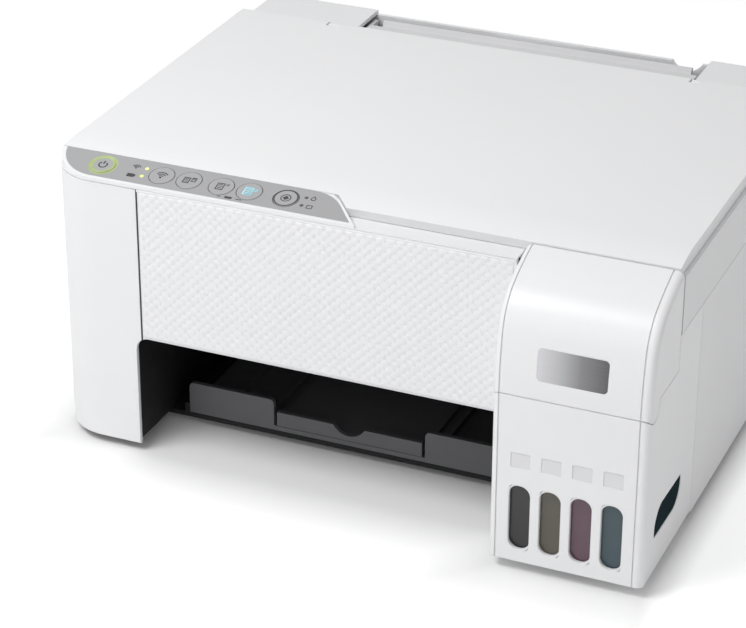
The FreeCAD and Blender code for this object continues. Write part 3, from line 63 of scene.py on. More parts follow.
class Look:
    """A material under construction: its node tree and a few shortcuts for building it."""

    def __init__(self, name):
        self.material = bpy.data.materials.new(name)
        self.material.use_nodes = True
        self.tree = self.material.node_tree
        self.tree.nodes.clear()
        self.output = self.add("ShaderNodeOutputMaterial")
        self.surface = self.add("ShaderNodeBsdfPrincipled")
        self.link(self.surface.outputs["BSDF"], self.output.inputs["Surface"])
        source = self.add("ShaderNodeTexCoord")
        self.place = source.outputs["Object"]
        self.direction = source.outputs["Normal"]

    def add(self, kind, **settings):
        node = self.tree.nodes.new(kind)
        for key, value in settings.items():
            setattr(node, key, value)
        return node

    def link(self, start, end):
        self.tree.links.new(start, end)

    def fill(self, socket, value):
        """Gives a socket a number, a colour or the value of another socket."""
        if isinstance(value, tuple):
            socket.default_value = (*value, 1)
        elif isinstance(value, (int, float)):
            socket.default_value = value
        else:
            self.link(value, socket)

    def noise(self, scale, detail=3.0, roughness=0.55, stretch=None):
        """A noise value from 0 to 1; scale is in cells per metre, stretch scales the three axes."""
        place = self.place
        if stretch:
            mapping = self.add("ShaderNodeMapping")
            mapping.inputs["Scale"].default_value = stretch
            self.link(place, mapping.inputs["Vector"])
            place = mapping.outputs["Vector"]
        texture = self.add("ShaderNodeTexNoise")
        texture.inputs["Scale"].default_value = scale
        texture.inputs["Detail"].default_value = detail
        texture.inputs["Roughness"].default_value = roughness
        self.link(place, texture.inputs["Vector"])
        return texture.outputs["Fac"]

    def cloud(self):
        """Broad, faint mottling."""
        return self.noise(scale=9.0, detail=4.0)

    def grain(self):
        """The fine grain of a moulding."""
        return self.noise(scale=2600.0, detail=2.0, roughness=0.7)

    def span(self, value, low, high, start=0.0, end=1.0):
        """Maps a value between two limits onto low and high."""
        node = self.add("ShaderNodeMapRange")
        node.inputs["From Min"].default_value = start
        node.inputs["From Max"].default_value = end
        node.inputs["To Min"].default_value = low
        node.inputs["To Max"].default_value = high
        self.link(value, node.inputs["Value"])
        return node.outputs["Result"]

    def maths(self, operation, first, second=None):
        node = self.add("ShaderNodeMath", operation=operation)
        self.fill(node.inputs[0], first)
        if second is not None:
            self.fill(node.inputs[1], second)
        return node.outputs["Value"]

    def ramp(self, value, stops, interpolation="LINEAR"):
        """A colour from a list of positions and colours."""
        node = self.add("ShaderNodeValToRGB")
        node.color_ramp.interpolation = interpolation
        elements = node.color_ramp.elements
        while len(elements) < len(stops):
            elements.new(0.5)
        for element, (position, colour) in zip(elements, stops):
            element.position = position
            element.color = (*colour, 1)
        self.link(value, node.inputs["Fac"])
        return node.outputs["Color"]

    def mix(self, share, first, second):
        """A colour between two colours; each is a tuple or a socket."""
        node = self.add("ShaderNodeMix", data_type="RGBA")
        self.fill(node.inputs[0], share)
        self.fill(node.inputs[6], first)
        self.fill(node.inputs[7], second)
        return node.outputs[2]

    def component(self, vector, axis):
        node = self.add("ShaderNodeSeparateXYZ")
        self.link(vector, node.inputs["Vector"])
        return node.outputs[axis]

    def coordinate(self, axis):
        return self.component(self.place, axis)

    def facing(self, axis):
        return self.component(self.direction, axis)

    def colour(self, value):
        self.fill(self.surface.inputs["Base Color"], value)

    def rough(self, value, low, high, start=0.0, end=1.0):
        """Roughness from low to high as a value goes from start to end."""
        self.link(self.span(value, low, high, start, end), self.surface.inputs["Roughness"])

    def bump(self, height, distance, strength=1.0, edge=0.0):
        """Bump from a height value, over edges rounded in the shading by a radius."""
        node = self.add("ShaderNodeBump")
        node.inputs["Strength"].default_value = strength
        node.inputs["Distance"].default_value = distance
        self.link(height, node.inputs["Height"])
        if edge:
            bevel = self.add("ShaderNodeBevel", samples=4)
            bevel.inputs["Radius"].default_value = edge
            self.link(bevel.outputs["Normal"], node.inputs["Normal"])
        self.link(node.outputs["Normal"], self.surface.inputs["Normal"])

    def glow(self, colour, strength):
        self.link(colour, self.surface.inputs["Emission Color"])
        self.link(strength, self.surface.inputs["Emission Strength"])

    def set(self, **values):
        for key, value in values.items():
            self.surface.inputs[key.replace("_", " ")].default_value = value


def shade(colour, factor):
    return tuple(min(1.0, channel * factor) for channel in colour)


FACING_FRONT = -0.7
ROUGH_SPREAD = 0.05


def plastic(name, colour, rough, grain=0.012, edge=0.35, mottle=0.02, specular=0.5, front=1.0):
    """Moulded plastic: fine grain, slight mottling, edges that catch the light; front paints shade on -Y
    faces.
    """
    look = Look(name)
    tone = look.mix(look.cloud(), shade(colour, 1 - mottle), shade(colour, 1 + mottle))
    # Painted shade: faces turned to the front take the colour scaled by front.
    if front != 1.0:
        shaded_front = look.maths("LESS_THAN", look.facing("Y"), FACING_FRONT)
        tone = look.mix(shaded_front, tone, shade(colour, front))
    look.colour(tone)
    patch = look.noise(scale=60.0, detail=5.0)
    look.rough(patch, rough - ROUGH_SPREAD, rough + ROUGH_SPREAD, start=0.3, end=0.7)
    look.bump(look.grain(), distance=grain * MM, strength=0.6, edge=edge * MM)
    look.set(Specular_IOR_Level=specular)
    return look.material


def metal(name, colour, rough, stretch, edge=0.2):
    """Rolled or drawn metal with fine lines along one axis and faint tarnish."""
    look = Look(name)
    lines = look.noise(scale=900.0, detail=3.0, stretch=stretch)
    tarnish = look.noise(scale=35.0, detail=5.0)
    tone = look.mix(tarnish, shade(colour, 0.82), shade(colour, 1.05))
    look.colour(look.mix(look.span(lines, low=0.0, high=0.35), tone, shade(colour, 0.7)))
    look.rough(lines, rough - 0.08, rough + 0.12)
    look.bump(lines, distance=0.006 * MM, strength=0.5, edge=edge * MM)
    look.set(Metallic=1.0)
    return look.material


WHITE = (0.845, 0.848, 0.858)
BLACK = (0.018, 0.018, 0.019)
TUNNEL_BLACK = (0.010, 0.010, 0.011)
PANEL_GREY = (0.375, 0.375, 0.382)

white = plastic("white_moulding", WHITE, rough=0.46, edge=0.7)
# The lid's front faces get painted shade: their colour times 0.82.
lid_white = plastic("lid_moulding", shade(WHITE, 1.015), rough=0.42, grain=0.009, edge=0.6, front=0.82)
label_white = plastic("label_moulding", shade(WHITE, 0.90), rough=0.5, grain=0.006, edge=0.2)
tank_white = plastic("tank_moulding", shade(WHITE, 1.01), rough=0.36, grain=0.006, edge=0.8)
inner_white = plastic("inner_moulding", (0.70, 0.70, 0.71), rough=0.55, grain=0.02)
black = plastic("black_moulding", BLACK, rough=0.5, grain=0.02, mottle=0.2)
tunnel_black = plastic("tunnel_moulding", TUNNEL_BLACK, rough=0.62, grain=0.03, mottle=0.25, specular=0.25)
grey = plastic("grey_moulding", (0.10, 0.10, 0.106), rough=0.48, grain=0.02, mottle=0.08)
smoke = plastic("smoke_moulding", (0.045, 0.045, 0.048), rough=0.4, grain=0.02, mottle=0.1)
acetal = plastic("acetal_moulding", (0.78, 0.77, 0.72), rough=0.35, grain=0.008)
panel_grey = plastic("panel_film", PANEL_GREY, rough=0.34, grain=0.004, edge=0.25, mottle=0.015)
button_grey = plastic("button_film", (0.39, 0.39, 0.40), rough=0.36, grain=0.004, edge=0.3, mottle=0.015)
mark_dark = plastic("printed_ink", (0.035, 0.036, 0.04), rough=0.42, grain=0.003, edge=0.0, mottle=0.15)
steel = metal("plated_steel", (0.62, 0.63, 0.64), rough=0.3, stretch=(0.02, 1.0, 1.0))
shaft_steel = metal("ground_shaft", (0.70, 0.71, 0.73), rough=0.16, stretch=(0.03, 1.0, 1.0), edge=0.1)
can_metal = metal("motor_can", (0.42, 0.43, 0.45), rough=0.34, stretch=(1.0, 0.05, 1.0))
zinc = metal("zinc_screw", (0.55, 0.56, 0.58), rough=0.28, stretch=(1.0, 1.0, 0.2), edge=0.1)


TRAY_INSIDE = 185.8


def tray_look():
    """The scanner tray: white outside like the covers, dark inside so that no light shows in a scan."""
    look = Look("scanner_tray_moulding")
    inside = look.maths("LESS_THAN", look.maths("ABSOLUTE", look.coordinate("X")), TRAY_INSIDE * MM)
    cloud = look.cloud()
    outer = look.mix(cloud, shade(WHITE, 0.98), shade(WHITE, 1.02))
    inner = look.mix(cloud, (0.05, 0.05, 0.052), (0.07, 0.07, 0.072))
    look.colour(look.mix(inside, outer, inner))
    look.rough(cloud, low=0.44, high=0.54)
    look.bump(look.grain(), distance=0.012 * MM, strength=0.6, edge=0.35 * MM)
    return look.material


def rubber_look():
    """Black rubber, greyed by dust."""
    look = Look("moulded_rubber")
    dust = look.noise(scale=120.0, detail=5.0)
    look.colour(look.mix(dust, (0.012, 0.012, 0.012), (0.032, 0.031, 0.03)))
    look.rough(dust, low=0.62, high=0.82, start=0.3, end=0.7)
    look.bump(look.noise(scale=1800.0, detail=3.0), distance=0.03 * MM, strength=0.6, edge=0.3 * MM)
    return look.material


TANK_LEFT, TANK_RIGHT = 100.2, 187.2
CHAMBER_TINTS = [
    (0.0, (0.028, 0.026, 0.028)),
    (0.29, (0.110, 0.098, 0.077)),
    (0.49, (0.132, 0.074, 0.096)),
    (0.69, (0.052, 0.088, 0.108)),
]
FACING_RIGHT = 0.5


def tank_look():
    """Smoky tank plastic: each chamber takes the tint of the ink that stands behind its window."""
    look = Look("ink_tank_plastic")
    across = look.span(look.coordinate("X"), 0.0, 1.0, start=TANK_LEFT * MM, end=TANK_RIGHT * MM)
    tint = look.ramp(across, CHAMBER_TINTS, "CONSTANT")
    depth = look.noise(scale=25.0, detail=4.0)
    tint = look.mix(look.span(depth, low=0.0, high=0.25), tint, (0.02, 0.02, 0.02))
    side = look.maths("GREATER_THAN", look.facing("X"), FACING_RIGHT)
    look.colour(look.mix(side, tint, (0.006, 0.009, 0.010)))
    look.set(Roughness=0.16, Specular_IOR_Level=0.42, Coat_Weight=0.15, Coat_Roughness=0.08)
    look.bump(look.noise(scale=400.0, detail=2.0), distance=0.008 * MM, strength=0.5)
    return look.material


def ink_look(name, colour):
    """Still ink with a faint swirl."""
    look = Look(name)
    swirl = look.noise(scale=40.0, detail=3.0)
    look.colour(look.mix(swirl, shade(colour, 0.85), shade(colour, 1.15)))
    look.set(Roughness=0.08, Specular_IOR_Level=0.5)
    look.bump(look.noise(scale=60.0, detail=1.0), distance=0.02 * MM, strength=0.3)
    return look.material


def glass_look():
    """Clear float glass with a faint green tint and dust."""
    look = Look("float_glass")
    dust = look.noise(scale=300.0, detail=6.0)
    look.colour(look.mix(dust, (0.80, 0.88, 0.86), (0.86, 0.91, 0.90)))
    look.set(Transmission_Weight=0.92, IOR=1.46)
    look.rough(dust, low=0.02, high=0.06, start=0.4, end=0.7)
    return look.material


BOARD_FACE = -177.6


def board_look():
    """Green solder resist with lighter traces, and darker tops on the chips."""
    look = Look("circuit_board")
    brick = look.add("ShaderNodeTexBrick")
    brick.inputs["Scale"].default_value = 90.0
    brick.inputs["Mortar Size"].default_value = 0.06
    brick.inputs["Color1"].default_value = (0.012, 0.085, 0.035, 1)
    brick.inputs["Color2"].default_value = (0.016, 0.10, 0.042, 1)
    brick.inputs["Mortar"].default_value = (0.05, 0.20, 0.09, 1)
    turn = look.add("ShaderNodeMapping")
    turn.inputs["Rotation"].default_value = (0, math.pi / 2, 0)
    look.link(look.place, turn.inputs["Vector"])
    look.link(turn.outputs["Vector"], brick.inputs["Vector"])
    raised = look.maths("GREATER_THAN", look.coordinate("X"), BOARD_FACE * MM)
    look.colour(look.mix(raised, brick.outputs["Color"], (0.02, 0.02, 0.021)))
    look.set(Roughness=0.38)
    look.bump(brick.outputs["Fac"], distance=0.03 * MM, strength=0.4, edge=0.2 * MM)
    return look.material


BADGE_LEFT, BADGE_RIGHT = 124.0, 163.0
# A painted reflection: light at the left of the plate, near black at its right.
BADGE_PAINTED_REFLECTION = [
    (0.0, (0.62, 0.61, 0.64)),
    (0.30, (0.44, 0.44, 0.45)),
    (0.62, (0.19, 0.19, 0.195)),
    (1.0, (0.06, 0.06, 0.063)),
]


def badge_look():
    """Bare metal-film plate: brushed lines under a broad light-to-dark sweep, a reflection painted into
    its colour.
    """
    look = Look("badge_film")
    across = look.span(look.coordinate("X"), 0.0, 1.0, start=BADGE_LEFT * MM, end=BADGE_RIGHT * MM)
    sweep = look.ramp(across, BADGE_PAINTED_REFLECTION)
    lines = look.noise(scale=1500.0, detail=2.0, stretch=(0.04, 1.0, 1.0))
    look.colour(look.mix(look.span(lines, low=0.0, high=0.2), sweep, (0.30, 0.30, 0.31)))
    look.set(Metallic=0.35, Coat_Weight=0.4, Coat_Roughness=0.12)
    look.rough(lines, low=0.24, high=0.4)
    look.bump(lines, distance=0.004 * MM, strength=0.4, edge=0.2 * MM)
    return look.material


# Heights of the front relief in millimetres, and the painted shade in its pits

PIT_HEIGHT = 0.05
EDGE_HEIGHT = 0.30
DOME_HEIGHT = 0.34
PIT_PAINTED_SHADE = 0.85


def relief_look():
    """The front panel's diamonds: white like the covers, greyer down in the pits as painted shade."""
    look = Look("relief_moulding")
    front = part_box("front_panel")[0].y
    depth = look.coordinate("Y")
    # Painted shade: the deeper a point lies, the greyer its colour.
    sunk = look.span(depth, 0.0, 1.0, start=front - EDGE_HEIGHT * MM, end=front - PIT_HEIGHT * MM)
    cloud = look.cloud()
    tone = look.mix(cloud, shade(WHITE, 0.98), shade(WHITE, 1.01))
    look.colour(look.mix(sunk, tone, shade(WHITE, PIT_PAINTED_SHADE)))
    look.rough(cloud, low=0.40, high=0.48)
    look.bump(look.grain(), distance=0.006 * MM, strength=0.6)
    return look.material


def window_look():
    """Dark tinted pane in the side of the tank housing."""
    look = Look("side_pane")
    depth = look.noise(scale=30.0, detail=3.0)
    look.colour(look.mix(depth, (0.018, 0.030, 0.035), (0.026, 0.042, 0.050)))
    look.rough(depth, low=0.4, high=0.55)
    look.set(Specular_IOR_Level=0.0)
    return look.material


LIT_LAMPS_END = -80.0


def lamp_look():
    """Lamp lenses: the two at the left are lit, the two at the right are dark."""
    look = Look("lamp_lens")
    lit = look.maths("LESS_THAN", look.coordinate("X"), LIT_LAMPS_END * MM)
    uneven = look.noise(scale=700.0, detail=2.0)
    green = look.mix(uneven, (0.62, 0.78, 0.16), (0.86, 0.92, 0.36))
    look.colour(look.mix(lit, (0.10, 0.10, 0.10), green))
    look.glow(green, look.maths("MULTIPLY", lit, 0.5))
    look.set(Roughness=0.22)
    return look.material


GLOW_REACH = 9.2
GLOW_FADE = [(0.56, (0, 0, 0)), (0.70, (1, 1, 1)), (0.86, (1, 1, 1)), (1.0, (0, 0, 0))]


def glow_look(name, low, high, strength, centre=None):
    """A light guide lit from below: uneven brightness, fading at both rims of a ring about a centre."""
    look = Look(name)
    uneven = look.noise(scale=140.0, detail=2.0)
    colour = look.mix(look.span(uneven, 0.0, 1.0, start=0.35, end=0.65), low, high)
    bright = look.span(uneven, low=strength * 0.6, high=strength)
    if centre:
        away = look.add("ShaderNodeVectorMath", operation="DISTANCE")
        away.inputs[1].default_value = centre
        look.link(look.place, away.inputs[0])
        share = look.ramp(look.maths("DIVIDE", away.outputs["Value"], GLOW_REACH * MM), GLOW_FADE, "EASE")
        colour = look.mix(share, PANEL_GREY, colour)
        bright = look.maths("MULTIPLY", bright, share)
    look.colour(colour)
    look.glow(colour, bright)
    look.set(Roughness=0.4)
    return look.material


def foam_look():
    """White film over foam, with a soft weave."""
    look = Look("pad_film")
    cloud = look.noise(scale=30.0, detail=4.0)
    look.colour(look.mix(cloud, (0.80, 0.80, 0.80), (0.88, 0.88, 0.88)))
    look.rough(cloud, low=0.5, high=0.65)
    look.set(Sheen_Weight=0.2)
    look.bump(look.noise(scale=1200.0, detail=3.0), distance=0.03 * MM, strength=0.5)
    return look.material


def belt_look():
    """Toothed belt: cross ribs along its run."""
    look = Look("belt_rubber")
    wave = look.add("ShaderNodeTexWave", wave_type="BANDS", bands_direction="X")
    wave.inputs["Scale"].default_value = 160.0
    look.link(look.place, wave.inputs["Vector"])
    look.colour(look.mix(wave.outputs["Fac"], (0.01, 0.01, 0.01), (0.03, 0.03, 0.03)))
    look.set(Roughness=0.7)
    look.bump(wave.outputs["Fac"], distance=0.25 * MM, strength=0.8)
    return look.material


LOOKS = {
    white: "left_side_cover right_side_cover rear_cover front_panel scanner_bezel",
    tray_look(): "scanner_tray",
    lid_white: "document_lid",
    tank_white: "tank_housing tank_cover",
    tunnel_black: "main_frame base_pan",
    black: "platen print_carriage maintenance_station ac_inlet scan_sensor power_supply",
    grey: "output_tray tray_extension",
    inner_white: "feeder_hopper edge_guide feeder_guard paper_support",
    smoke: "tank_cap_black tank_cap_yellow tank_cap_magenta tank_cap_cyan",
    acetal: "drive_pulley idler_pulley idler_gear motor_pinion",
    panel_grey: "control_panel",
    button_grey: "power_button wireless_button status_button mono_copy_button "
                 "colour_copy_button stop_button",
    steel: "chassis feed_roller exit_roller",
    shaft_steel: "carriage_shaft scan_guide_rod print_head",
    can_metal: "carriage_motor feed_motor",
    zinc: "housing_screws",
    rubber_look(): "rubber_feet pickup_roller",
    tank_look(): "ink_tank",
    ink_look("ink_black_fluid", (0.010, 0.010, 0.012)): "ink_black",
    ink_look("ink_yellow_fluid", (0.50, 0.36, 0.01)): "ink_yellow",
    ink_look("ink_magenta_fluid", (0.38, 0.01, 0.13)): "ink_magenta",
    ink_look("ink_cyan_fluid", (0.005, 0.17, 0.33)): "ink_cyan",
    glass_look(): "scanner_glass",
    board_look(): "main_board",
    badge_look(): "tank_badge",
    lamp_look(): "status_lamps",
    belt_look(): "carriage_belt",
}
for look, names in LOOKS.items():
    for name in names.split():
        mesh = nodes[name].data
        mesh.materials.clear()
        mesh.materials.append(look)


# Pieces built here

def new_piece(name, builder, material, body, smooth_angle=None):
    """A mesh object filled by a function on a bmesh in metres, riding on a body."""
    mesh = bpy.data.meshes.new(name)
    solid = bmesh.new()
    builder(solid)
    bmesh.ops.recalc_face_normals(solid, faces=solid.faces)
    solid.to_mesh(mesh)
    solid.free()
    mesh.materials.append(material)
    piece = bpy.data.objects.new(name, mesh)
    bpy.context.scene.collection.objects.link(piece)
    if smooth_angle:
        mesh.shade_smooth()
        mesh.set_sharp_from_angle(angle=math.radians(smooth_angle))
    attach(piece, body)
    return piece


def prism(solid, outline, low, high, frame_of):
    """A closed prism over a simple outline."""
    floor = [solid.verts.new(frame_of @ Vector((u, v, low))) for u, v in outline]
    top = [solid.verts.new(frame_of @ Vector((u, v, high))) for u, v in outline]
    solid.faces.new(top)
    solid.faces.new(list(reversed(floor)))
    count = len(outline)
    for i in range(count):
        k = (i + 1) % count
        solid.faces.new((floor[i], floor[k], top[k], top[i]))


def skin(solid, rows, closed=True):
    """A closed skin over lines of corners that run side by side: a ring, or a length with two ends."""
    count = len(rows[0])
    for i in range(count if closed else count - 1):
        k = (i + 1) % count
        for a, b in zip(rows, rows[1:] + rows[:1]):
            solid.faces.new((a[i], a[k], b[k], b[i]))
    if not closed:
        solid.faces.new([row[0] for row in rows])
        solid.faces.new([row[-1] for row in reversed(rows)])


def band(solid, inner, outer, low, high, frame_of, closed):
    """A flat strip between two lines of points."""
    skin(solid, [
        [solid.verts.new(frame_of @ Vector((u, v, w))) for u, v in line]
        for line, w in ((inner, low), (outer, low), (outer, high), (inner, high))
    ], closed)


def rectangle(x0, y0, x1, y1):
    return [(x0, y0), (x1, y0), (x1, y1), (x0, y1)]


ROUND_STEPS = 48
ARC_STEP = 8


def circle(radius, start=0, end=360, steps=ROUND_STEPS, centre=(0, 0)):
    """Points on a circle, or on an arc of it between two angles in degrees."""
    whole = abs(end - start) >= 360
    count = steps if whole else steps + 1
    angles = [math.radians(start + (end - start) * i / steps) for i in range(count)]
    return [(centre[0] + radius * math.cos(a), centre[1] + radius * math.sin(a)) for a in angles]


def fillet(corner, before, after, radius, steps=8):
    """Points of the arc that rounds a corner between the directions to its two neighbours."""
    corner = Vector(corner)
    before, after = Vector(before).normalized(), Vector(after).normalized()
    half = before.angle(after) / 2
    middle = corner + (before + after).normalized() * (radius / math.sin(half))
    start = corner + before * (radius / math.tan(half)) - middle
    end = corner + after * (radius / math.tan(half)) - middle
    sweep = start.angle(end)
    arc = []
    for i in range(steps + 1):
        t = i / steps
        spoke = (start * math.sin((1 - t) * sweep) + end * math.sin(t * sweep)) / math.sin(sweep)
        arc.append(tuple(middle + spoke))
    return arc


def rounded(points, radii):
    """A polygon with its corners rounded; a radius of 0 keeps a corner sharp."""
    outline = []
    for i, radius in enumerate(radii):
        corner = Vector(points[i])
        before = Vector(points[i - 1]) - corner
        after = Vector(points[(i + 1) % len(points)]) - corner
        outline += fillet(corner, before, after, radius) if radius else [points[i]]
    return outline


# Printed marks on the sloping control panel, in millimetres

SLOPE = math.radians(14)
FACE_Y = -139.0
PANEL_Z = 172.2
ROW = 12.5
BUTTON_PROUD = 0.3
BUTTONS = {
    "power": -154.4,
    "wireless": -117.2,
    "status": -100.2,
    "mono_copy": -80.2,
    "colour_copy": -63.0,
    "stop": -40.8,
}


class Print:
    """Marks printed on the control panel: collects strokes in millimetres about a place on the slope."""

    DEPTH = 0.05

    def __init__(self, x, along, lift):
        tilt = Matrix.Rotation(SLOPE, 4, "X")
        place = Vector((x, FACE_Y, PANEL_Z)) + tilt @ Vector((0, along, lift))
        self.frame_of = Matrix.Scale(MM, 4) @ Matrix.Translation(place) @ tilt
        self.strokes = []

    def ring(self, inner, outer, start=0, end=360, centre=(0, 0)):
        """A ring, or an arc between two angles in degrees."""
        whole = end - start >= 360
        steps = ROUND_STEPS if whole else max(6, int((end - start) / ARC_STEP))
        lines = [circle(radius, start, end, steps, centre) for radius in (inner, outer)]
        self.strokes.append(("band", *lines, whole))
        return self

    def bar(self, a, b, width):
        """A straight stroke from a to b."""
        run = Vector((b[0] - a[0], b[1] - a[1]))
        side = Vector((-run.y, run.x)).normalized() * (width / 2)
        return self.shape([
            (a[0] + side.x, a[1] + side.y), (b[0] + side.x, b[1] + side.y),
            (b[0] - side.x, b[1] - side.y), (a[0] - side.x, a[1] - side.y)])

    def shape(self, outline):
        self.strokes.append(("prism", outline))
        return self

    def frame(self, low, high, width):
        """A rectangular outline drawn with a line of one width."""
        (x0, y0), (x1, y1) = low, high
        inner = rectangle(x0 + width, y0 + width, x1 - width, y1 - width)
        self.strokes.append(("band", inner, rectangle(x0, y0, x1, y1), True))
        return self

    def make(self, name, material, body, slot):
        def build(solid):
            for kind, *lines in self.strokes:
                if kind == "band":
                    inner, outer, closed = lines
                    band(solid, inner, outer, 0, self.DEPTH, self.frame_of, closed)
                else:
                    prism(solid, lines[0], 0, self.DEPTH, self.frame_of)
        return new_piece(name, build, material, body)


def on_button(key):
    return Print(BUTTONS[key], ROW, BUTTON_PROUD)


def on_panel(x, along):
    return Print(x, along, 0.0)


def sheet_mark(mark, x, y, size, width, lines=3):
    """A sheet of paper with lines of writing."""
    mark.frame((x - 1.5 * size, y - 1.9 * size), (x + 1.5 * size, y + 1.9 * size), width)
    for i in range(lines):
        level = y + (1.0 - i * 0.9) * size
        mark.bar((x - 0.8 * size, level), (x + 0.8 * size, level), width * 0.8)
    return mark


RING_INNER, RING_OUTER = 5.2, 7.25
HALO_INNER = 7.36
power_place = on_button("power").frame_of.to_translation()
power_glow = glow_look("power_ring_light", (0.37, 0.46, 0.16), (0.43, 0.53, 0.24), 0.09, power_place)
cyan_glow = glow_look("copy_light", (0.16, 0.52, 0.62), (0.45, 0.78, 0.86), 0.35)

power_ring = on_button("power").ring(RING_INNER, RING_OUTER)
power_ring.make("power_ring", power_glow, "power_button", "lamp")
power_halo = on_panel(BUTTONS["power"], ROW).ring(HALO_INNER, GLOW_REACH)
power_halo.make("power_halo", power_glow, "scanner_unit", "lamp")
power_mark = on_button("power").ring(1.95, 2.85, 125, 415).bar((0, 0.6), (0, 3.5), 0.9)
power_mark.make("power_mark", mark_dark, "power_button", "black_plastic")

WAVE_FOOT = (0, -2.2)
WAVE_HALF_WIDTH = 0.36
waves = on_button("wireless")
for radius in (1.6, 3.1, 4.6):
    waves.ring(radius - WAVE_HALF_WIDTH, radius + WAVE_HALF_WIDTH, 42, 138, WAVE_FOOT)
waves.shape(circle(0.7, steps=16, centre=WAVE_FOOT))
waves.make("wireless_mark", mark_dark, "wireless_button", "black_plastic")

status = sheet_mark(on_button("status"), -1.5, -0.2, size=1.35, width=0.62)
sheet_mark(status, 2.8, 0.9, size=0.95, width=0.52, lines=2)
status.make("status_mark", mark_dark, "status_button", "black_plastic")

mono = sheet_mark(on_button("mono_copy"), -0.6, -0.3, size=1.55, width=0.62, lines=4)
mono.bar((2.5, 1.9), (4.3, 2.4), 0.45).bar((2.5, 1.0), (4.3, 1.5), 0.45)
mono.make("mono_copy_mark", mark_dark, "mono_copy_button", "black_plastic")

colour_mark = sheet_mark(on_button("colour_copy"), -0.7, -0.1, size=1.75, width=0.75, lines=4)
colour_mark.bar((2.6, 1.7), (4.4, 2.2), 0.6).bar((2.6, 0.4), (4.4, 0.9), 0.6)
colour_mark.make("colour_copy_mark", cyan_glow, "colour_copy_button", "lamp")

stop = on_button("stop").ring(6.3, 7.1).ring(2.5, 3.1)
stop.shape([(0, 1.9), (1.9, 0), (0, -1.9), (-1.9, 0)])
stop.make("stop_mark", mark_dark, "stop_button", "black_plastic")

link_mark = on_panel(-134.8, ROW + 2.6).ring(1.1, 1.75, 25, 155).ring(2.3, 2.95, 25, 155)
link_mark.shape(circle(0.6, steps=14))
sheet_lamp_mark = on_panel(-134.6, ROW - 4.2)
sheet_lamp_mark.shape([(-2.6, -1.5), (1.6, -1.5), (2.8, 0.0), (1.6, 1.5), (-2.6, 1.5)])
drop_mark = on_panel(-25.6, ROW + 3.4).ring(1.0, 1.55, 130, 410)
drop_mark.bar((-0.85, 0.85), (0, 2.3), 0.5).bar((0.85, 0.85), (0, 2.3), 0.5)
tray_mark = on_panel(-25.2, ROW - 3.7).frame((-1.8, -1.5), (1.8, 1.5), 0.5)
copies_mark = on_panel(-72.4, ROW - 8.6).bar((-2.2, 0.5), (2.2, 0.5), 1.7)
copies_mark.bar((-6.8, 0.3), (-4.6, 0.3), 0.5).bar((4.4, 0.3), (8.2, 0.3), 0.5)
PANEL_MARKS = {
    "link_mark": link_mark,
    "sheet_lamp_mark": sheet_lamp_mark,
    "drop_mark": drop_mark,
    "tray_mark": tray_mark,
    "copies_mark": copies_mark,
}
for name, mark in PANEL_MARKS.items():
    mark.make(name, mark_dark, "scanner_unit", "black_plastic")


PANEL_CORNER = (-16.2, 23.0)
PANEL_CORNER_ROUND = 22.9
PANEL_BACK_RUN = (-1, 0)
PANEL_END_RUN = (0.647, -0.7625)
corner_arc = fillet(PANEL_CORNER, PANEL_BACK_RUN, PANEL_END_RUN, PANEL_CORNER_ROUND, steps=16)
corner_trim = on_panel(0, 0).shape([PANEL_CORNER] + corner_arc)
corner_trim.make("panel_corner_trim", white, "scanner_unit", "white_shell")


# Front relief and trim, in millimetres

DIAMOND = 6.0
CELLS = 6
PIT_RADIUS = 1.3
SLOT_TOP = 76.0
RELIEF_LEFT, RELIEF_RIGHT, RELIEF_BOTTOM = 1.2, 1.6, 0.8
TRIM_SUNK = 0.3
STRIP_HEIGHT = 1.1
STRIP_OVER = 0.2
STRIP_INSET = 0.3
# Painted shadow: a black strip over the seam, wider than the gap, stands for its shade.
SHADOW_STRIP_LEFT, SHADOW_STRIP_RIGHT = 0.35, 0.75
SHADOW_STRIP_PROUD = 0.04
ALONG_X = Matrix(((0, 0, MM, 0), (MM, 0, 0, 0), (0, MM, 0, 0), (0, 0, 0, 1)))
ALONG_Y = Matrix(((MM, 0, 0, 0), (0, 0, MM, 0), (0, MM, 0, 0), (0, 0, 0, 1)))


def relief_height(i, k, columns, rows):
    """How far a grid point stands proud: low domes on a diamond lattice, a narrow pit at each corner."""
    if k == rows:
        return EDGE_HEIGHT
    if i in (0, columns) or k == 0:
        return PIT_HEIGHT
    a, b = i % CELLS, k % CELLS
    half = CELLS // 2
    pits = ((0, 0), (CELLS, 0), (0, CELLS), (CELLS, CELLS), (half, half))
    tops = ((half, 0), (half, CELLS), (0, half), (CELLS, half))
    away = min(math.hypot(a - u, b - v) for u, v in pits) * DIAMOND / CELLS
    steps = min(abs(a - u) + abs(b - v) for u, v in tops)
    rise = min(1.0, away / PIT_RADIUS)
    surface = EDGE_HEIGHT + DOME_HEIGHT * (1 - (steps / half) ** 2)
    return PIT_HEIGHT + (surface - PIT_HEIGHT) * rise * rise * (3 - 2 * rise)


def border(columns, rows):
    """The places round the edge of a grid, in order."""
    places = [(i, 0) for i in range(columns)] + [(columns, k) for k in range(rows)]
    return places + [(i, rows) for i in range(columns, 0, -1)] + [(0, k) for k in range(rows, 0, -1)]


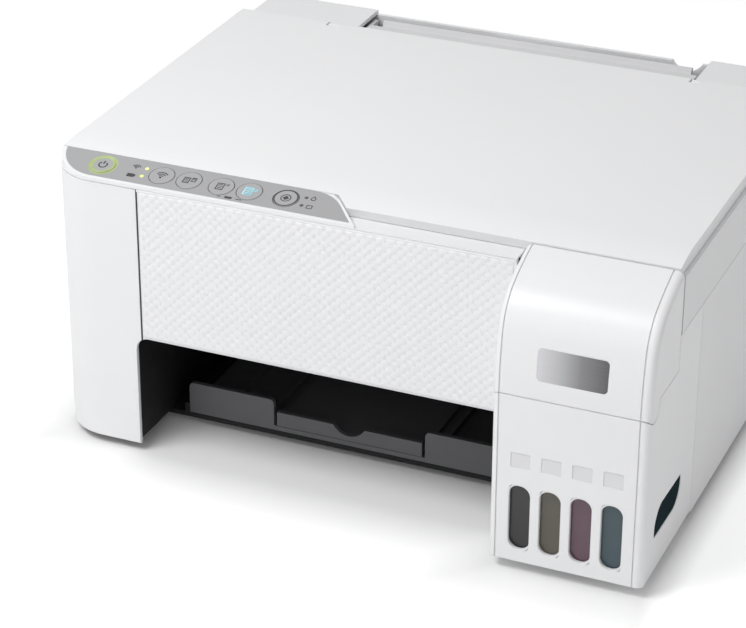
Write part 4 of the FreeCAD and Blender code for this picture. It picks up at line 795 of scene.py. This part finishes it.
def relief(solid):
    """Raised diamonds over the front panel, as a closed sheet let into it."""
    low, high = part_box("front_panel")
    x0, x1 = low.x / MM + RELIEF_LEFT, high.x / MM - RELIEF_RIGHT
    z0, z1 = SLOT_TOP + RELIEF_BOTTOM, high.z / MM - STRIP_HEIGHT
    columns = round((x1 - x0) * CELLS / DIAMOND)
    rows = round((z1 - z0) * CELLS / DIAMOND)
    step_x, step_z = (x1 - x0) / columns, (z1 - z0) / rows
    front = low.y / MM
    grid = {}
    for i in range(columns + 1):
        for k in range(rows + 1):
            depth = front - relief_height(i, k, columns, rows)
            grid[i, k] = solid.verts.new(Vector((x0 + i * step_x, depth, z0 + k * step_z)) * MM)
    for i in range(columns):
        for k in range(rows):
            a, b = grid[i, k], grid[i + 1, k]
            c, d = grid[i + 1, k + 1], grid[i, k + 1]
            halves = ((a, b, d), (b, c, d)) if (i + k) % 2 else ((a, b, c), (a, c, d))
            for corners in halves:
                solid.faces.new(corners)
    rim = [grid[place] for place in border(columns, rows)]
    rear = [solid.verts.new((v.co.x, (front + TRIM_SUNK) * MM, v.co.z)) for v in rim]
    for i in range(len(rim)):
        k = (i + 1) % len(rim)
        solid.faces.new((rim[i], rim[k], rear[k], rear[i]))
    solid.faces.new(rear)


def edge_strip(solid):
    """The bright bevelled edge along the top of the front panel."""
    low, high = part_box("front_panel")
    front, top = low.y / MM, high.z / MM
    section = [
        (front - EDGE_HEIGHT, top - STRIP_HEIGHT),
        (front + TRIM_SUNK, top - STRIP_HEIGHT),
        (front + TRIM_SUNK, top + STRIP_OVER),
        (front, top + STRIP_OVER),
    ]
    prism(solid, section, low.x / MM + STRIP_INSET, high.x / MM - STRIP_INSET, ALONG_X)


def seam_shadow_strip(solid):
    """A dark strip in the seam between the front panel and the left cover: painted shadow of the gap."""
    low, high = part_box("front_panel")
    x, front = low.x / MM, low.y / MM
    outline = rectangle(x - SHADOW_STRIP_LEFT, low.z / MM, x + SHADOW_STRIP_RIGHT, high.z / MM)
    prism(solid, outline, front - SHADOW_STRIP_PROUD, front + TRIM_SUNK, ALONG_Y)


new_piece("front_relief", relief, relief_look(), "housing", 75)
new_piece("front_edge_strip", edge_strip, white, "housing")
new_piece("front_seam_painted_shadow", seam_shadow_strip, black, "housing")


# Trim of the tank housing, in millimetres

WINDOWS = 4
WINDOW_FIRST, WINDOW_LAST = 17.2, 18.6
WINDOW_HALF = 6.1
WINDOW_BOTTOM, WINDOW_TOP = 14.2, 54.2
WINDOW_ROUND, WINDOW_CORNER = 6.0, 5.6
RIM_SECTION = [(-0.12, 2.2), (-0.12, 0.35), (0.2, 0.03), (1.0, 0.03), (1.0, 2.2)]
LABEL_BOTTOM, LABEL_TOP, LABEL_HALF = 65.5, 74.1, 5.5
LABEL_FACE, LABEL_BACK = 0.3, 0.5
PANE_CORNERS = [(63.5, 44), (67.5, 27), (17.5, 28.5), (14, 46)]
PANE_ROUNDS = [0, 13, 0, 13]
PANE_FACE, PANE_BACK = 0.4, 1.8
PIVOT_IN, PIVOT_HEIGHT = 6.0, 114.0
LIP_INNER, LIP_OUTER = 7.93, 8.3
LIP_START, LIP_END = 222.6, 238.0
LIP_BEVEL = 1.6
LIP_STEPS = 8
CORNER_ROUND = 4.0


def window_middles():
    low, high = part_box("tank_housing")
    first, last = low.x / MM + WINDOW_FIRST, high.x / MM - WINDOW_LAST
    return [first + (last - first) * k / (WINDOWS - 1) for k in range(WINDOWS)]


def window_rims(solid):
    """A slim rim in each ink window, which rounds its corners and bevels its edge."""
    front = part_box("tank_housing")[0].y / MM
    for middle in window_middles():
        rows = []
        for grow, depth in RIM_SECTION:
            half = WINDOW_HALF + grow
            corners = rectangle(middle - half, WINDOW_BOTTOM - grow, middle + half, WINDOW_TOP + grow)
            outline = rounded(corners, [WINDOW_ROUND + grow, WINDOW_CORNER + grow] * 2)
            rows.append([solid.verts.new(Vector((x, front + depth, z)) * MM) for x, z in outline])
        skin(solid, rows)


def label_plates(solid):
    """The bare plates sunk above the windows."""
    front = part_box("tank_housing")[0].y / MM
    for middle in window_middles():
        outline = rectangle(middle - LABEL_HALF, LABEL_BOTTOM, middle + LABEL_HALF, LABEL_TOP)
        prism(solid, outline, front + LABEL_FACE, front + LABEL_BACK, ALONG_Y)


def side_pane(solid):
    """The leaf-shaped dark pane in the right side of the tank housing."""
    low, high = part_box("tank_housing")
    front, right = low.y / MM, high.x / MM
    corners = [(front + back, height) for back, height in PANE_CORNERS]
    prism(solid, rounded(corners, PANE_ROUNDS), right - PANE_BACK, right - PANE_FACE, ALONG_X)


def cover_lip(solid):
    """The lip of the tank housing under the front edge of the tank cover, round the cover's pivot."""
    low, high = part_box("tank_housing")
    pivot = (low.y / MM + PIVOT_IN, PIVOT_HEIGHT)
    inner = circle(LIP_INNER, LIP_START, LIP_END, LIP_STEPS, pivot)
    outer = circle(LIP_OUTER, LIP_START + LIP_BEVEL, LIP_END, LIP_STEPS, pivot)
    prism(solid, inner + outer[::-1], low.x / MM + CORNER_ROUND, high.x / MM - CORNER_ROUND, ALONG_X)


new_piece("cover_lip", cover_lip, tank_white, "housing", 30)
new_piece("window_rims", window_rims, tank_white, "housing", 35)
new_piece("label_plates", label_plates, label_white, "housing")
new_piece("side_pane", side_pane, window_look(), "housing")


# Soft pad under the lid, in millimetres

PAD_COLUMNS, PAD_ROWS = 60, 42
PAD_INSET = 1.0
PAD_DRAW_IN = 1.2
PAD_SLACK = 1.1
PAD_SWELL = 0.9
PAD_GLUED = 1.0
CLOTH_STEPS = 20


def lid_pad(solid):
    """The pad before it is filled: a flat slab, smaller than its room, its sides drawn in a little."""
    low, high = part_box("lid_pad")
    x0, x1 = low.x / MM + PAD_INSET, high.x / MM - PAD_INSET
    y0, y1 = low.y / MM + PAD_INSET, high.y / MM - PAD_INSET
    rim = border(PAD_COLUMNS, PAD_ROWS)
    layers = []
    for z in (low.z / MM + PAD_SLACK, (low.z + high.z) / MM / 2, high.z / MM):
        layer = {}
        for i in range(PAD_COLUMNS + 1):
            for k in range(PAD_ROWS + 1):
                u, v = 2 * i / PAD_COLUMNS - 1, 2 * k / PAD_ROWS - 1
                x = (x0 + x1) / 2 + u * ((x1 - x0) / 2 - PAD_DRAW_IN * (1 - v * v) * abs(u) ** 3)
                y = (y0 + y1) / 2 + v * ((y1 - y0) / 2 - PAD_DRAW_IN * (1 - u * u) * abs(v) ** 3)
                if (i, k) in rim or not layers or z == high.z / MM:
                    layer[i, k] = solid.verts.new(Vector((x, y, z)) * MM)
        layers.append(layer)
    for layer in (layers[0], layers[-1]):
        for i in range(PAD_COLUMNS):
            for k in range(PAD_ROWS):
                solid.faces.new((layer[i, k], layer[i + 1, k], layer[i + 1, k + 1], layer[i, k + 1]))
    for lower, upper in zip(layers, layers[1:]):
        for a, b in zip(rim, rim[1:] + rim[:1]):
            solid.faces.new((lower[a], lower[b], upper[b], upper[a]))


def fill_with_foam(piece, glued_above, most):
    """Swells a slab by simulated cloth under pressure, its top glued; no point moves further than most."""
    mesh = piece.data
    glued = piece.vertex_groups.new(name="glued")
    glued.add([v.index for v in mesh.vertices if v.co.z > glued_above], 1.0, "REPLACE")
    cloth = piece.modifiers.new("fill", "CLOTH")
    cloth.settings.quality = 6
    cloth.settings.mass = 0.2
    cloth.settings.use_pressure = True
    cloth.settings.uniform_pressure_force = 4.0
    cloth.settings.vertex_group_mass = glued.name
    cloth.settings.effector_weights.gravity = 0.0
    cloth.collision_settings.use_collision = False
    cloth.point_cache.frame_start = 1
    cloth.point_cache.frame_end = CLOTH_STEPS
    for step in range(1, CLOTH_STEPS + 1):
        bpy.context.scene.frame_set(step)
    swollen = piece.evaluated_get(bpy.context.evaluated_depsgraph_get()).data
    moves = [swollen.vertices[v.index].co - v.co for v in mesh.vertices]
    piece.modifiers.remove(cloth)
    piece.vertex_groups.remove(glued)
    bpy.context.scene.frame_set(1)
    for vertex, move in zip(mesh.vertices, moves):
        length = move.length
        if length > 0:
            vertex.co += move * (most * math.tanh(length / most) / length)
    mesh.update()


pad = new_piece("document_pad", lid_pad, foam_look(), "lid", 50)
fill_with_foam(pad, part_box("lid_pad")[1].z - PAD_GLUED * MM, PAD_SWELL * MM)
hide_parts("lid_pad")


# Camera, lights and floor, in metres

CAMERA_AZIMUTH, CAMERA_ELEVATION, CAMERA_ROLL = 23.01, 27.29, 0.14
CAMERA_PLACE = (0.5144, -1.3114, 0.7783)
SENSOR_WIDTH, FOCAL_LENGTH = 36.0, 126.3


def set_camera():
    """A camera that stands where the photo was taken; its angles are in degrees."""
    angles = (CAMERA_AZIMUTH, CAMERA_ELEVATION, CAMERA_ROLL)
    azimuth, elevation, roll = (math.radians(a) for a in angles)
    level = math.cos(elevation)
    back = Vector((math.sin(azimuth) * level, -math.cos(azimuth) * level, math.sin(elevation)))
    side = (-back).cross(Vector((0, 0, 1))).normalized()
    up = side.cross(-back)
    axis_x = side * math.cos(roll) + up * math.sin(roll)
    axis_y = up * math.cos(roll) - side * math.sin(roll)
    lens = bpy.data.cameras.new("camera")
    lens.sensor_width = SENSOR_WIDTH
    lens.lens = FOCAL_LENGTH
    camera = bpy.data.objects.new("camera", lens)
    turn = Matrix((axis_x, axis_y, back)).transposed().to_4x4()
    camera.matrix_world = Matrix.Translation(CAMERA_PLACE) @ turn
    bpy.context.scene.collection.objects.link(camera)
    bpy.context.scene.camera = camera


def lamp(name, place, target, size, power):
    """A round area lamp that points at a target; its power is in watts."""
    light = bpy.data.lights.new(name, "AREA")
    light.shape = "DISK"
    light.size = size
    light.energy = power
    holder = bpy.data.objects.new(name, light)
    holder.location = place
    holder.rotation_euler = (Vector(target) - Vector(place)).to_track_quat("-Z", "Y").to_euler()
    bpy.context.scene.collection.objects.link(holder)


def seen_directly(tree):
    """1 for rays that should meet the plain white background: from the camera, a mirror or glass."""
    path = tree.nodes.new("ShaderNodeLightPath")
    total = path.outputs["Is Camera Ray"]
    for name in ("Is Glossy Ray", "Is Transmission Ray"):
        node = tree.nodes.new("ShaderNodeMath")
        node.operation = "MAXIMUM"
        tree.links.new(total, node.inputs[0])
        tree.links.new(path.outputs[name], node.inputs[1])
        total = node.outputs["Value"]
    return total


def set_world(ambient, lean):
    """Even light from all round, a little stronger from the right than from the left."""
    world = bpy.data.worlds.new("world")
    world.use_nodes = True
    bpy.context.scene.world = world
    tree = world.node_tree
    background = tree.nodes["Background"]
    background.inputs["Color"].default_value = (1, 1, 1, 1)
    strength = tree.nodes.new("ShaderNodeMix")
    strength.data_type = "FLOAT"
    strength.inputs[3].default_value = 1.0
    place = tree.nodes.new("ShaderNodeTexCoord")
    parts = tree.nodes.new("ShaderNodeSeparateXYZ")
    sideways = tree.nodes.new("ShaderNodeMapRange")
    sideways.inputs["From Min"].default_value = -1.0
    sideways.inputs["To Min"].default_value = ambient * (1 - lean)
    sideways.inputs["To Max"].default_value = ambient * (1 + lean)
    tree.links.new(place.outputs["Generated"], parts.inputs["Vector"])
    tree.links.new(parts.outputs["X"], sideways.inputs["Value"])
    tree.links.new(sideways.outputs["Result"], strength.inputs[2])
    tree.links.new(seen_directly(tree), strength.inputs[0])
    tree.links.new(strength.outputs[0], background.inputs["Strength"])


FLOOR_REACH = 6.0
CONTACT_LIFT = 0.02
OPEN_LIFT = 0.44
LIFT_REACH = 0.07
RIGHT_PAINTED_LIGHT_GAIN = 4.0


def away_from_object(look):
    """Distance on the floor from the printer's footprint: its body and the tank that stands out."""
    x, y = look.coordinate("X"), look.coordinate("Y")
    distance = None
    panel_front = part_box("front_panel")[0].y
    tank_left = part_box("tank_housing")[0].x
    for low_x, low_y in ((cad_low.x, panel_front), (tank_left, cad_low.y)):
        sides = (
            look.maths("SUBTRACT", low_x, x),
            # Painted light: distances to the right count four times over, so the lift comes sooner on that
            # side.
            look.maths("MULTIPLY", look.maths("SUBTRACT", x, cad_high.x), RIGHT_PAINTED_LIGHT_GAIN),
            look.maths("SUBTRACT", low_y, y),
            look.maths("SUBTRACT", y, cad_high.y),
        )
        reach = sides[0]
        for side in sides[1:]:
            reach = look.maths("MAXIMUM", reach, side)
        distance = reach if distance is None else look.maths("MINIMUM", distance, reach)
    return distance


def set_floor():
    """A white table; away from the printer the camera sees it a little brighter than it is lit: painted
    light, which comes sooner to the right and pales the printer's shadow there.
    """
    mesh = bpy.data.meshes.new("floor")
    corners = rectangle(-FLOOR_REACH, -FLOOR_REACH, FLOOR_REACH, FLOOR_REACH)
    mesh.from_pydata([(x, y, 0) for x, y in corners], [], [(0, 1, 2, 3)])
    floor = bpy.data.objects.new("floor", mesh)
    bpy.context.scene.collection.objects.link(floor)
    look = Look("white_table")
    look.colour(look.mix(look.noise(scale=3.0), (0.90, 0.90, 0.90), (0.93, 0.93, 0.93)))
    look.set(Roughness=0.7, Specular_IOR_Level=0.1, Emission_Color=(1, 1, 1, 1))
    lift = look.span(away_from_object(look), CONTACT_LIFT, OPEN_LIFT, start=0.0, end=LIFT_REACH)
    lift = look.maths("MULTIPLY", seen_directly(look.tree), lift)
    look.link(lift, look.surface.inputs["Emission Strength"])
    mesh.materials.append(look.material)


set_camera()
set_world(ambient=0.455, lean=0.16)
set_floor()
lamp("key", place=(-0.40, -0.60, 1.08), target=(0.0, -0.05, 0.1), size=0.6, power=7.7)
lamp("front_fill", place=(0.10, -1.60, 0.60), target=(0.05, -0.1, 0.08), size=1.0, power=2.1)
bpy.context.scene.view_settings.view_transform = "Standard"
